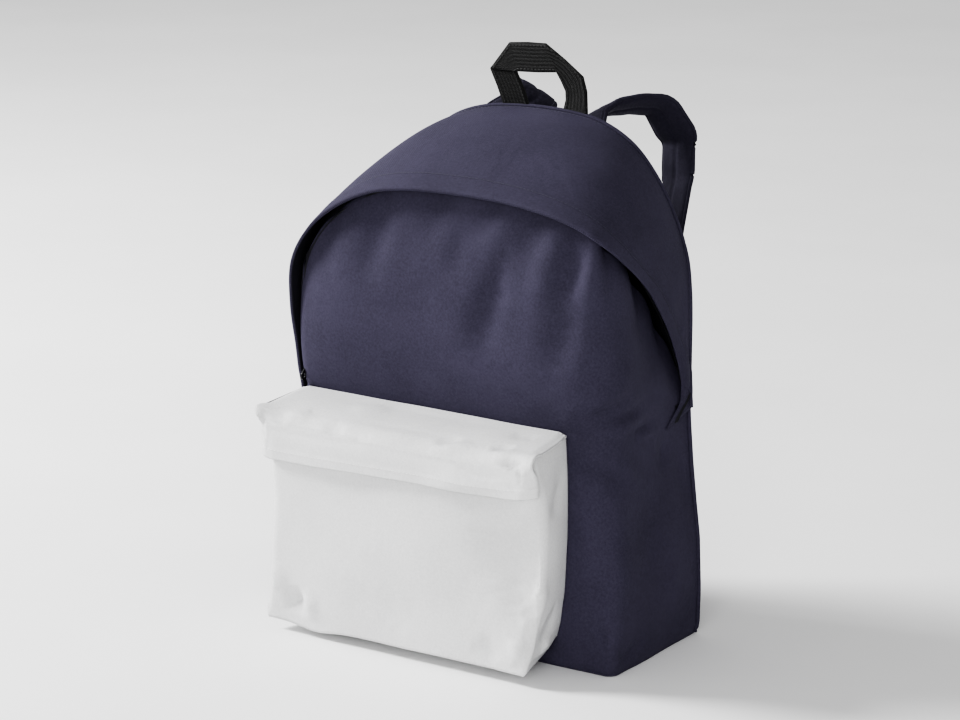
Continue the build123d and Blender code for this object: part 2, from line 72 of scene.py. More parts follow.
# ------------------------------------------------------------------ curves and grids
def catmull(points, where):
    """A smooth curve through the points, read at parameters from 0 to the last index."""
    points = np.asarray(points, float)
    padded = np.vstack([2 * points[0] - points[1], points, 2 * points[-1] - points[-2]])
    where = np.asarray(where, float)
    index = np.clip(where.astype(int), 0, len(points) - 2)
    t = (where - index)[:, None]
    a, b, c, d = (padded[index + step] for step in range(4))
    cubic = 3 * b - a - 3 * c + d
    return 0.5 * (2 * b + (c - a) * t + (2 * a - 5 * b + 4 * c - d) * t**2 + cubic * t**3)


def lengths(line):
    """Distance from the start of a line to each of its points."""
    steps = np.linalg.norm(np.diff(line, axis=0), axis=1)
    return np.concatenate([[0.0], np.cumsum(steps)])


def column_lengths(grid):
    """Distance along each column of a grid from its first row."""
    steps = np.linalg.norm(np.diff(grid, axis=0), axis=2)
    return np.vstack([np.zeros((1, grid.shape[1])), np.cumsum(steps, axis=0)])


def read_line(line, run, at):
    """Points of a line, or values along it, at the given distances."""
    return np.stack([np.interp(at, run, line[:, axis]) for axis in range(3)], axis=1)


def line_at(x, y, z):
    """A line from its coordinates, of which some may be one number."""
    return np.stack(np.broadcast_arrays(*(np.asarray(part, float) for part in (x, y, z))), axis=-1)


def read_table(x, table):
    """Reads a table of (place, value) pairs at x, straight between its entries."""
    places, values = zip(*table)
    return np.interp(x, places, values)


def even_parameters(points, count):
    """Parameters that space count points evenly along the smooth curve."""
    fine = np.linspace(0, len(points) - 1, 40 * len(points))
    run = lengths(catmull(points, fine))
    return np.interp(np.linspace(0, run[-1], count), run, fine)


def evenly(points, count):
    return catmull(points, even_parameters(points, count))


def rounded_line(points, radius, step):
    """A polyline with its corners rounded, in steps of about the given length."""
    points = np.asarray(points, float)
    line = [points[0]]
    for before, corner, after in zip(points, points[1:], points[2:]):
        back = before - corner
        ahead = after - corner
        cut = min(radius, 0.45 * np.linalg.norm(back), 0.45 * np.linalg.norm(ahead))
        start = corner + back / np.linalg.norm(back) * cut
        end = corner + ahead / np.linalg.norm(ahead) * cut
        for t in np.linspace(0, 1, 9):
            line.append((1 - t) ** 2 * start + 2 * t * (1 - t) * corner + t**2 * end)
    line.append(points[-1])
    line = np.array(line)
    run = lengths(line)
    count = max(2, int(run[-1] / step) + 1)
    return read_line(line, run, np.linspace(0, run[-1], count))


def unit(vectors):
    return vectors / np.maximum(np.linalg.norm(vectors, axis=-1, keepdims=True), 1e-9)


def normals(grid):
    """Outward normals of a grid whose columns run left to right and rows run up or back."""
    return unit(np.cross(np.gradient(grid, axis=1), np.gradient(grid, axis=0)))


def push(grid, amount):
    """Moves a grid outward by the given amounts."""
    return grid + normals(grid) * amount[..., None]


def smooth_step(x, start, end):
    t = np.clip((np.asarray(x, float) - start) / (end - start), 0, 1)
    return t * t * (3 - 2 * t)


def bell(x, middle, width):
    return np.exp(-(((np.asarray(x, float) - middle) / width) ** 2))


def crease(grid, path, width, height, ends):
    """Raises a rounded fold along a path near the grid, or sinks it if height is negative.

    It tapers off over the given share of its length at each end."""
    path = np.asarray(path, float)
    count = int(lengths(path)[-1] / (width / 3)) + 2
    if len(path) > 2:
        line = evenly(path, count)
    else:
        line = path[0] + np.linspace(0, 1, count)[:, None] * (path[1] - path[0])
    flat = grid.reshape(-1, 3)
    nearest = np.full(len(flat), 1e9)
    share = np.zeros(len(flat))
    for index, point in enumerate(line):
        snapped = flat[np.argmin(((flat - point) ** 2).sum(1))]
        distance = np.linalg.norm(flat - snapped, axis=1)
        closer = distance < nearest
        nearest[closer] = distance[closer]
        share[closer] = index / (count - 1)
    taper = smooth_step(share, 0, ends) * smooth_step(1 - share, 0, ends)
    raised = (height * np.exp(-((nearest / width) ** 2)) * taper).reshape(grid.shape[:2])
    return push(grid, raised)


def add_folds(grid, folds, ends, scale=1.0):
    for path, width, height in folds:
        grid = crease(grid, path, width, scale * height, ends)
    return grid


WAVES = 7


def ripple(grid, seed, wave, height):
    """Gentle unevenness of cloth: a few long crossing waves."""
    random = np.random.default_rng(seed)
    total = np.zeros(grid.shape[:2])
    for _ in range(WAVES):
        direction = unit(random.normal(size=3))
        phase = random.uniform(0, 2 * math.pi)
        length = wave * random.uniform(0.7, 1.6)
        total += np.sin(grid @ direction * (2 * math.pi / length) + phase)
    return push(grid, total / WAVES * height)


# ------------------------------------------------------------------ meshes
def new_piece(name, verts, faces, materials, face_material=None, uvs=None, smooth=True):
    """A mesh object from millimetre points, one UV pair per point if uvs is given."""
    mesh = bpy.data.meshes.new(name)
    mesh.from_pydata((np.asarray(verts) * MM).tolist(), [], [list(map(int, f)) for f in faces])
    for material in materials:
        mesh.materials.append(material)
    if face_material is not None:
        mesh.polygons.foreach_set("material_index", np.asarray(face_material, np.int32))
    mesh.polygons.foreach_set("use_smooth", np.full(len(mesh.polygons), smooth))
    if uvs is not None:
        layer = mesh.uv_layers.new(name="cloth")
        loops = np.zeros(len(mesh.loops), np.int32)
        mesh.loops.foreach_get("vertex_index", loops)
        layer.data.foreach_set("uv", (np.asarray(uvs)[loops] * MM).astype(np.float32).ravel())
    mesh.update()
    piece = bpy.data.objects.new(name, mesh)
    bpy.context.scene.collection.objects.link(piece)
    return piece


def grid_faces(rows, cols, closed=False, keep=None):
    """Quads of a grid as rows of corner indices, wound to face outward."""
    index = np.arange(rows * cols).reshape(rows, cols)
    if closed:
        index = np.hstack([index, index[:, :1]])
    quads = np.stack([index[:-1, :-1], index[:-1, 1:], index[1:, 1:], index[1:, :-1]], axis=-1)
    if keep is not None:
        return quads[keep[:-1, :-1] & keep[:-1, 1:] & keep[1:, 1:] & keep[1:, :-1]]
    return quads.reshape(-1, 4)


def border_edges(faces):
    """Directed edges that belong to one face only."""
    edges = np.concatenate([faces[:, [k, (k + 1) % 4]] for k in range(4)])
    keys = {(int(a), int(b)) for a, b in edges}
    return np.array([edge for edge in keys if (edge[1], edge[0]) not in keys])


def cloth_uv(grid):
    """Distances along a grid's rows and columns, so that a weave lies along the cloth."""
    u = column_lengths(grid.swapaxes(0, 1)).T
    u = u - u[:, [grid.shape[1] // 2]]
    return np.stack([u, column_lengths(grid)], axis=-1).reshape(-1, 2)


def two_skins(outer_faces, count):
    """Faces of an outer and an inner skin and the rim between them, and which are inner."""
    edges = border_edges(outer_faces)
    rim = np.stack([edges[:, 1], edges[:, 0], edges[:, 0] + count, edges[:, 1] + count], axis=-1)
    faces = np.concatenate([outer_faces, outer_faces[:, ::-1] + count, rim])
    inner = [0] * len(outer_faces) + [1] * len(outer_faces) + [0] * len(rim)
    return faces, inner


def shell(name, grid, thickness, outside, inside=None, closed=False, keep=None):
    """A sheet of cloth with real thickness: the grid is its outside."""
    rows, cols = grid.shape[:2]
    inner = grid - normals(grid) * np.broadcast_to(thickness, grid.shape[:2])[..., None]
    faces, which = two_skins(grid_faces(rows, cols, closed, keep), rows * cols)
    uv = cloth_uv(grid)
    materials = [outside, inside] if inside else [outside]
    verts = np.vstack([grid.reshape(-1, 3), inner.reshape(-1, 3)])
    which = which if inside else None
    piece = new_piece(name, verts, faces, materials, which, np.vstack([uv, uv]))
    drop_loose(piece)
    return piece


def drop_loose(piece):
    """Deletes points that no face uses."""
    work = bmesh.new()
    work.from_mesh(piece.data)
    loose = [vert for vert in work.verts if not vert.link_faces]
    bmesh.ops.delete(work, geom=loose, context="VERTS")
    work.to_mesh(piece.data)
    work.free()


def tube(name, line, radius, material, sides=8):
    """A closed tube along a line."""
    line = np.asarray(line, float)
    ahead = unit(np.gradient(line, axis=0))
    reference = np.where(np.abs(ahead @ UP)[:, None] > 0.95, np.array([0.0, 1.0, 0.0]), UP)
    side = unit(np.cross(ahead, reference))
    over = np.cross(side, ahead)
    turn = np.linspace(0, 2 * math.pi, sides, endpoint=False)
    cos, sin = np.cos(turn)[None, :, None], np.sin(turn)[None, :, None]
    grid = line[:, None] + (side[:, None] * cos + over[:, None] * sin) * radius
    faces = grid_faces(len(line), sides, closed=True).tolist()
    last = (len(line) - 1) * sides
    faces += [list(range(sides))[::-1], [last + k for k in range(sides)]]
    return new_piece(name, grid.reshape(-1, 3), faces, [material], None, cloth_uv(grid))


# A stitch or tooth: six corners round its foot and two on its ridge, in half sizes
BEAD = [
    (-1, 0, 0.2), (-0.75, 0.8, 0), (0.75, 0.8, 0), (1, 0, 0.2), (0.75, -0.8, 0), (-0.75, -0.8, 0),
    (-0.6, 0, 1), (0.6, 0, 1),
]
BEAD_FACES = [
    (0, 6, 1), (1, 6, 7, 2), (2, 7, 3), (3, 7, 4), (4, 7, 6, 5), (5, 6, 0), (0, 1, 2, 3, 4, 5),
]


def beads(name, line, facing, size, pitch, material):
    """A row of small raised shapes along a line: stitches, or the teeth of a zip.

    The facing is one direction, or one for each point of the line."""
    line = np.asarray(line, float)
    facing = np.broadcast_to(np.asarray(facing, float), line.shape)
    run = lengths(line)
    count = max(2, int(run[-1] / pitch))
    at = (np.arange(count) + 0.5) * run[-1] / count
    centre = read_line(line, run, at)
    out = unit(read_line(facing, run, at))
    ahead = read_line(unit(np.gradient(line, axis=0)), run, at)
    ahead = unit(ahead - out * (ahead * out).sum(1, keepdims=True))
    side = np.cross(out, ahead)
    shape = np.array(BEAD) * np.array(size) / 2
    axes = np.stack([ahead, side, out], axis=1)
    verts = centre[:, None] + np.einsum("bk,nkd->nbd", shape, axes)
    faces = []
    for index in range(count):
        faces += [[corner + index * len(BEAD) for corner in face] for face in BEAD_FACES]
    return new_piece(name, verts.reshape(-1, 3), faces, [material], smooth=False)


def join(pieces, name):
    """Joins pieces that ride together into one."""
    target = pieces[0]
    with bpy.context.temp_override(active_object=target, selected_editable_objects=pieces):
        bpy.ops.object.join()
    target.name = name
    target.data.name = name
    return target


# ------------------------------------------------------------------ materials
HALF_TURN = math.pi


class Nodes:
    """Short calls for building a procedural material."""

    def __init__(self, name, roughness, specular=0.4, metallic=0.0, sheen=0.0, sheen_tint=None):
        self.material = bpy.data.materials.new(name)
        self.material.use_nodes = True
        self.tree = self.material.node_tree
        self.shader = self.tree.nodes["Principled BSDF"]
        self.shader.inputs["Roughness"].default_value = roughness
        self.shader.inputs["Specular IOR Level"].default_value = specular
        self.shader.inputs["Metallic"].default_value = metallic
        if sheen:
            self.shader.inputs["Sheen Weight"].default_value = sheen
            self.shader.inputs["Sheen Roughness"].default_value = 0.45
            self.shader.inputs["Sheen Tint"].default_value = (*sheen_tint, 1)

    def add(self, kind, **values):
        node = self.tree.nodes.new("ShaderNode" + kind)
        for key, value in values.items():
            setattr(node, key, value)
        return node

    def link(self, source, target):
        self.tree.links.new(source, target)

    def math(self, operation, a, b=None):
        node = self.add("Math", operation=operation)
        for socket, value in zip(node.inputs, (a, b)):
            if value is None:
                continue
            if isinstance(value, (int, float)):
                socket.default_value = value
            else:
                self.link(value, socket)
        return node.outputs[0]

    def weigh(self, *terms):
        """Sum of sockets times their weights."""
        parts = [self.math("MULTIPLY", socket, weight) for socket, weight in terms]
        total = parts[0]
        for part in parts[1:]:
            total = self.math("ADD", total, part)
        return total

    def ribs(self, value, factor=HALF_TURN):
        """Rounded ribs: the height of |sin| of a socket times a factor."""
        return self.math("ABSOLUTE", self.math("SINE", self.math("MULTIPLY", value, factor)))

    def noise(self, scale, detail=3.0):
        node = self.add("TexNoise")
        node.inputs["Scale"].default_value = scale
        node.inputs["Detail"].default_value = detail
        node.inputs["Roughness"].default_value = 0.55
        self.link(self.add("TexCoord").outputs["Object"], node.inputs["Vector"])
        return node.outputs["Fac"]

    def ramp(self, factor, stops):
        node = self.add("ValToRGB")
        while len(node.color_ramp.elements) < len(stops):
            node.color_ramp.elements.new(0.5)
        for element, (position, colour) in zip(node.color_ramp.elements, stops):
            element.position = position
            element.color = (*colour, 1)
        self.link(factor, node.inputs["Fac"])
        return node.outputs["Color"]

    def bump(self, height, distance, strength, after=None):
        node = self.add("Bump")
        node.inputs["Strength"].default_value = strength
        node.inputs["Distance"].default_value = distance
        self.link(height, node.inputs["Height"])
        if after is not None:
            self.link(after, node.inputs["Normal"])
        return node.outputs["Normal"]

    def finish(self, colour, normal=None, roughness=None):
        for name, socket in (("Base Color", colour), ("Normal", normal), ("Roughness", roughness)):
            if socket is not None:
                self.link(socket, self.shader.inputs[name])
        return self.material

    def threads(self, pitch, uv):
        """Coordinates in threads across and along the cloth, as two sockets."""
        source = self.add("TexCoord").outputs["UV" if uv else "Object"]
        split = self.add("SeparateXYZ")
        self.link(source, split.inputs[0])
        first = self.math("MULTIPLY", split.outputs[0], 1 / (pitch * MM))
        second = self.math("MULTIPLY", split.outputs[1 if uv else 2], 1 / (pitch * MM))
        return first, second

    def plain_weave(self, pitch, uv):
        """Height of a plain weave: warp and weft threads pass over each other in turn."""
        across, along = self.threads(pitch, uv)
        parity = self.math("ADD", self.math("FLOOR", across), self.math("FLOOR", along))
        over = self.math("MODULO", self.math("ABSOLUTE", parity), 2.0)
        under = self.math("SUBTRACT", 1.0, over)
        return self.weigh((self.ribs(across), over), (self.ribs(along), under))


def woven(name, dark, light, pitch, roughness, sheen=0.0, tint=(1, 1, 1), uv=True):
    """Plain-woven polyester: weave, slubs, faint fading and uneven roughness."""
    n = Nodes(name, roughness, specular=0.18, sheen=sheen, sheen_tint=tint)
    weave = n.plain_weave(pitch, uv)
    level = n.weigh((weave, 0.30), (n.noise(520.0, 2.0), 0.45), (n.noise(14.0, 4.0), 0.45))
    colour = n.ramp(level, [(0.25, dark), (0.85, light)])
    fine = n.bump(weave, 0.12 * MM, 0.7)
    normal = n.bump(n.noise(160.0, 3.0), 0.5 * MM, 0.25, fine)
    rough = n.math("ADD", n.math("MULTIPLY", n.noise(60.0), 0.16), roughness - 0.08)
    return n.finish(colour, normal, rough)


def herringbone(name, dark, light):
    """Heavy webbing: ribs that slant one way and then the other across its width."""
    n = Nodes(name, 0.66, specular=0.25)
    across, along = n.threads(1.0, True)
    zigzag = n.math("PINGPONG", n.math("ADD", along, 100.0), 1.6)
    ribs = n.ribs(n.math("ADD", across, zigzag), 2.6)
    level = n.weigh((ribs, 0.6), (n.noise(1500.0, 2.0), 0.4))
    return n.finish(n.ramp(level, [(0.15, dark), (0.95, light)]), n.bump(ribs, 0.4 * MM, 0.9))


def ribbed(name, dark, light, pitch):
    """Knitted zip tape: fine ribs along its length."""
    n = Nodes(name, 0.7, specular=0.3)
    across, along = n.threads(pitch, True)
    level = n.weigh((n.ribs(across), 0.6), (n.ribs(along), 0.3))
    return n.finish(n.ramp(level, [(0.1, dark), (0.9, light)]), n.bump(level, 0.15 * MM, 0.8))


def moulded(name, dark, light, roughness, metallic=0.0):
    """Moulded plastic or enamelled metal: fine grain, and paler where it is handled."""
    n = Nodes(name, roughness, specular=0.5, metallic=metallic)
    fine = n.noise(900.0, 2.0)
    worn = n.noise(70.0, 4.0)
    level = n.weigh((worn, 0.7), (fine, 0.3))
    colour = n.ramp(level, [(0.3, dark), (0.8, light)])
    rough = n.math("ADD", n.math("MULTIPLY", worn, 0.2), roughness - 0.1)
    return n.finish(colour, n.bump(fine, 0.05 * MM, 0.5), rough)


NAVY_DARK = (0.0190, 0.0168, 0.0295)
NAVY_LIGHT = (0.0570, 0.0510, 0.0830)
# The straps' cloth is the navy cloth darkened to about 0.6 times: painted shade, for the shade the straps
# lie in
STRAP_SHADE_DARK = (0.0115, 0.0102, 0.0180)
STRAP_SHADE_LIGHT = (0.0350, 0.0315, 0.0500)
NAVY_SHEEN = (0.6, 0.55, 0.9)
# Width of a thread of the outer cloth
THREAD = 0.9
navy = woven("navy_cloth", NAVY_DARK, NAVY_LIGHT, THREAD, 0.82, 0.05, NAVY_SHEEN)
navy_pad = woven("navy_pad_cloth", NAVY_DARK, NAVY_LIGHT, THREAD, 0.82, 0.05, NAVY_SHEEN, uv=False)
strap_navy_painted_shade = woven("strap_cloth_painted_shade", STRAP_SHADE_DARK, STRAP_SHADE_LIGHT, THREAD, 0.82, 0.04, NAVY_SHEEN, uv=False)
light = woven("light_cloth", (0.50, 0.50, 0.505), (0.70, 0.70, 0.70), THREAD, 0.75, 0.05)
lining = woven("lining_cloth", (0.012, 0.011, 0.016), (0.030, 0.028, 0.038), 0.6, 0.7)
webbing = herringbone("black_webbing", (0.003, 0.003, 0.003), (0.020, 0.020, 0.020))
black_tape = ribbed("black_zip_tape", (0.006, 0.006, 0.008), (0.025, 0.025, 0.03), 0.7)
light_tape = ribbed("light_zip_tape", (0.5, 0.5, 0.5), (0.68, 0.68, 0.68), 0.7)
black_teeth = moulded("black_zip_teeth", (0.010, 0.010, 0.011), (0.035, 0.035, 0.038), 0.35)
light_teeth = moulded("light_zip_teeth", (0.55, 0.55, 0.55), (0.72, 0.72, 0.72), 0.4)
black_enamel = moulded("black_enamel", (0.015, 0.015, 0.017), (0.07, 0.07, 0.075), 0.32, 0.7)
light_enamel = moulded("grey_enamel", (0.42, 0.42, 0.42), (0.62, 0.62, 0.62), 0.35, 0.7)
plastic = moulded("black_nylon", (0.010, 0.010, 0.011), (0.030, 0.030, 0.032), 0.42)
board = moulded("stiffener_board", (0.05, 0.05, 0.05), (0.12, 0.12, 0.12), 0.6)
navy_thread = moulded("navy_thread", (0.028, 0.026, 0.045), (0.080, 0.074, 0.115), 0.7)
light_thread = moulded("light_thread", (0.62, 0.62, 0.62), (0.86, 0.86, 0.86), 0.6)
black_thread = moulded("black_thread", (0.012, 0.012, 0.012), (0.05, 0.05, 0.05), 0.6)


def settle(piece, body, slot, *nodes):
    """Rides a piece on a body and hides the CAD nodes it stands for; the slot is not used."""
    if nodes:
        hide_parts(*nodes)
    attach(piece, body)
    return piece


def bend(piece, body, slot, start, end, *nodes):
    """Hides the CAD nodes a piece stands for and bakes its place into its mesh; the body, the slot and the
    two points are not used.
    """
    if nodes:
        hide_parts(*nodes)
    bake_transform(piece)


def coat(material, *nodes):
    """A better material for CAD pieces that stay."""
    for node in nodes:
        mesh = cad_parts[node].data
        mesh.materials.clear()
        mesh.materials.append(material)


# ------------------------------------------------------------------ hood
# The rim and the back seam, point by point from the left end, over the top, to the right end.
# Places along the hood are counted in these points, from 0 at the left end to 21 at the right.
RIM = [
    (-148, -62, 190), (-149, -66, 225), (-150.5, -71, 262), (-146.8, -74, 299), (-128.5, -75, 329),
    (-100, -75, 351), (-68, -75, 365), (-35, -75, 371), (5, -75, 373), (50, -75, 372.5),
    (90, -75, 368), (122, -74, 360), (143, -70, 349), (148.5, -48, 332), (149.5, -14, 306),
    (149, 8, 283), (148, 30, 255), (147.5, 44, 228), (147, 50, 208), (147, 46, 196), (147.5, 34, 187),
    (148, 26, 181),
]
SEAM = [
    (-148, 63, 190), (-148, 63, 225), (-148, 63, 262), (-147.5, 63, 305), (-133, 63, 342),
    (-113, 63, 374), (-84, 63, 402), (-45, 63, 416), (5, 63, 420), (52, 63, 416),
    (86, 63, 401), (110, 63, 377), (129, 63, 346), (141, 63, 315), (145, 63, 288),
    (146, 63, 265), (146, 63, 243), (146, 63, 224), (146.5, 63, 210), (147, 63, 203), (147.5, 63, 196),
    (148, 63, 189),
]
HEM_W = 20
HOOD_COLS = 240
HOOD_ROWS = 56


def hood_grid():
    """Outside of the hood, from the rim (first row) to the back seam (last row)."""
    middle = (np.array(RIM) + np.array(SEAM)) / 2
    where = even_parameters(middle, HOOD_COLS)
    rim = catmull(RIM, where)
    seam = catmull(SEAM, where)
    depth = np.linspace(0, 1, HOOD_ROWS)[:, None, None]
    grid = rim * (1 - depth) + seam * depth
    # The cloth puffs out most over the top and the left shoulder, and not at the right end
    over_top = smooth_step(where, 2.5, 5) * smooth_step(where, 14.5, 11)
    puff = 3 + 6 * over_top + 2 * bell(where, 5, 2)
    puff *= smooth_step(where, 21, 17)
    arch = (4 * depth[..., 0] * (1 - depth[..., 0])) ** 0.8
    return push(grid, arch * puff), where


hood, hood_where = hood_grid()
rim_distance = column_lengths(hood)


def on_hood(grid, distance, lift):
    """The line at a distance behind the rim and a lift off the cloth, and its facing."""
    run = column_lengths(grid)
    out = normals(grid)
    line, facing = [], []
    for col in range(HOOD_COLS):
        reach = distance[col]
        place = [np.interp(reach, run[:, col], grid[:, col, axis]) for axis in range(3)]
        turned = [np.interp(reach, run[:, col], out[:, col, axis]) for axis in range(3)]
        line.append(np.array(place) + lift[col] * np.array(turned))
        facing.append(turned)
    return np.array(line), np.array(facing)


HOOD_FOLDS = (
    ([(70, -40, 388), (96, -10, 384), (118, 30, 366)], 24, 1.5),
    ([(-70, -20, 396), (0, -35, 402), (50, -30, 399)], 30, 1.2),
    ([(149, 56, 300), (149, 40, 262), (148, 54, 226)], 9, -1.4),
    ([(147, 60, 204), (148, 44, 212)], 4, -1.6),
)
# Thickness of the cloth, of its extra layer in the hem, and of webbing and zip tape
CLOTH = 1.6
HEM_CLOTH = 0.8
WEBBING = 1.6
TAPE = 0.8


def make_hood():
    """The hood with its hem, a sewn groove behind it and a few soft folds."""
    grid = ripple(hood, 3, 130, 1.1)
    hem = smooth_step(rim_distance, HEM_W + 3, HEM_W - 1)
    groove = bell(rim_distance, HEM_W, 1.6)
    flare = 0.4 * smooth_step(rim_distance, 12, 0)
    fixed = smooth_step(hood_where, 20.5, 18) * smooth_step(hood_where, 0.0, 0.6)
    grid = push(grid, fixed * (0.7 * hem - 0.8 * groove + 1.6 * flare))
    grid = add_folds(grid, HOOD_FOLDS, 0.3)
    thickness = CLOTH + HEM_CLOTH * smooth_step(rim_distance, HEM_W, HEM_W - 4)
    piece = shell("hood_shell", grid, thickness, navy, lining)
    settle(piece, "bag", "navy_fabric", "hood", "hood_facing")
    return grid


hood_final = make_hood()


# ------------------------------------------------------------------ body wrap
# The zip line inside the hood, which the wrap's upper edge is sewn to: how far it runs behind
# the rim, and how deep inside the cloth. Both are less towards the ends.
zip_back = 15 - 12 * smooth_step(hood_where, 15.5, 20) - 6 * smooth_step(hood_where, 6, 3)
zip_inset = 7.5 - 6.5 * smooth_step(hood_where, 16, 19.5) + 2.5 * bell(hood_where, 14.6, 1.8)
ZIP_LINE = on_hood(hood, zip_back, -zip_inset)[0]

# Columns of the wrap: left side, left corner, front, right corner, right side
WRAP_COLS = (48, 12, 106, 22, 48)
LEFT_COLS, LEFT_ARC, FRONT_COLS = WRAP_COLS[:3]
TUB_ROWS = 74
UPPER_ROWS = 74


def corner(centre_x, front, radius, first, count):
    """A quarter circle in plan, from the given angle on."""
    turn = first + np.linspace(0, math.pi / 2, count, endpoint=False)
    return np.stack([centre_x + radius * np.cos(turn), front + radius + radius * np.sin(turn)], 1)


def plan_line(left_back, left, right, right_back, front, back, left_r, right_r, counts):
    """Plan of a wall at one height, from its left back end round the front to the right."""
    sides = [
        np.linspace((left_back, back), (left, front + left_r), counts[0], endpoint=False),
        corner(left + left_r, front, left_r, math.pi, counts[1]),
        np.linspace((left + left_r, front), (right - right_r, front), counts[2], endpoint=False),
        corner(right - right_r, front, right_r, 1.5 * math.pi, counts[3]),
        np.linspace((right, front + right_r), (right_back, back), counts[4]),
    ]
    return np.vstack(sides)


# Half the width of the tub at each height
TUB_HALF = [
    (0, 156), (8, 158.5), (40, 159), (84, 157), (110, 153.5), (144, 149.5), (178, 146.5), (195, 145.5),
]


def tub_grid():
    """The wrap from the floor to the waist."""
    rows = []
    for z in np.linspace(0, WAIST_Z, TUB_ROWS):
        half = read_table(z, TUB_HALF)
        front = FRONT_Y + 0.6 * smooth_step(z, 8, 0)
        radii = 7 + 5 * z / WAIST_Z, 9 + 26 * smooth_step(z, 10, 190)
        plan = plan_line(-half, -half, half, half, front, BACK_Y - 2, *radii, WRAP_COLS)
        rows.append(np.column_stack([plan, np.full(len(plan), z)]))
    return np.array(rows)


tub = tub_grid()
waist = tub[-1]
# Distance round the waist from the middle of the front, and the place on the hood it is sewn to
ring = lengths(waist)
ring = ring - ring[LEFT_COLS + LEFT_ARC + FRONT_COLS // 2]
ZIP_MEETS = [
    (-158, 0), (-150, 1.3), (-143, 2.6), (-132, 3.6), (-112, 4.7), (-90, 5.5), (-62, 6.3), (-33, 7.1),
    (0, 7.95), (45, 8.95), (85, 9.95), (112, 10.8), (134, 11.7), (160, 13), (192, 14.2), (213, 15.2),
    (228, 16.2), (238, 17.2), (244, 18), (247, 18.5), (250, 19.2),
]
first_col = int(np.argmin(np.abs(ring - ZIP_MEETS[0][0])))
last_col = int(np.argmin(np.abs(ring - ZIP_MEETS[-1][0])))


def upper_grid():
    """The wrap from the waist up to the zip, gathered along the zip and bulging forward."""
    low = waist[first_col : last_col + 1]
    meets = read_table(ring[first_col : last_col + 1], ZIP_MEETS)
    high = read_line(ZIP_LINE, hood_where, meets)
    up = np.linspace(0, 1, UPPER_ROWS)[:, None]
    below = tub[-2, first_col : last_col + 1]
    rise = unit(low - below)[None]
    span = np.linalg.norm(high - low, axis=1)[None, :, None]
    t = up[..., None]
    handle = low[None] + rise * span * 0.33
    into = unit(high - low)[None] * 0.9 + np.array([0, 0, 0.1])
    second = high[None] - unit(into) * span * 0.33
    start, end = (1 - t) ** 3 * low[None], t**3 * high[None]
    grid = start + 3 * t * (1 - t) ** 2 * handle + 3 * t**2 * (1 - t) * second + end
    front = smooth_step(meets, 2.6, 5.5) * smooth_step(meets, 15, 11.5)
    side = smooth_step(meets, 11.5, 13.5) * smooth_step(meets, 18, 15.5)
    left = smooth_step(meets, 3.4, 1.0)
    bulge = 12.5 * front + 4.5 * side - 1 * left
    belly = 4 * up * (1 - up)
    grid = push(grid, bulge * belly**0.9)
    grid[..., 0] -= 6.5 * bell(meets, 3.5, 1.7)[None] * belly**0.7
    grid[..., 0] -= 8 * bell(meets, 15, 2.2)[None] * smooth_step(up, 0.3, 0.75)
    return grid, meets, up


# Gathers along the zip: place on it, width, depth, and how far down the cloth they reach
VALLEYS = (
    (4.6, 0.30, 2.2, 0.24), (6.1, 0.32, 3.6, 0.34), (7.6, 0.30, 3.4, 0.26), (8.6, 0.28, 4.4, 0.34),
    (9.75, 0.36, 4.6, 0.55), (10.9, 0.34, 4.4, 0.34), (12.3, 0.42, 4.8, 0.42), (13.9, 0.42, 4.6, 0.36),
    (15.6, 0.40, 4.0, 0.30),
)
RIDGES = (
    (6.9, 0.6, 1.2, 0.45), (9.2, 0.35, 1.6, 0.45), (10.3, 0.40, 1.8, 0.50), (11.6, 0.45, 1.6, 0.45),
    (13.1, 0.45, 1.4, 0.40),
)


def gathers(grid, meets, up):
    """Scallops where the cloth is gathered into the zip: valleys that fade downwards."""
    total = np.zeros(grid.shape[:2])
    for middle, width, depth, reach in VALLEYS:
        fade = smooth_step(up, 1 - 1.4 * reach, 1.0) ** 1.2
        total = total - depth * bell(meets, middle, width)[None] * fade
    for middle, width, height, reach in RIDGES:
        fade = smooth_step(up, 1 - reach, 0.85) * smooth_step(up, 1.04, 0.88)
        total = total + height * bell(meets, middle, width)[None] * fade
    return push(grid, total)


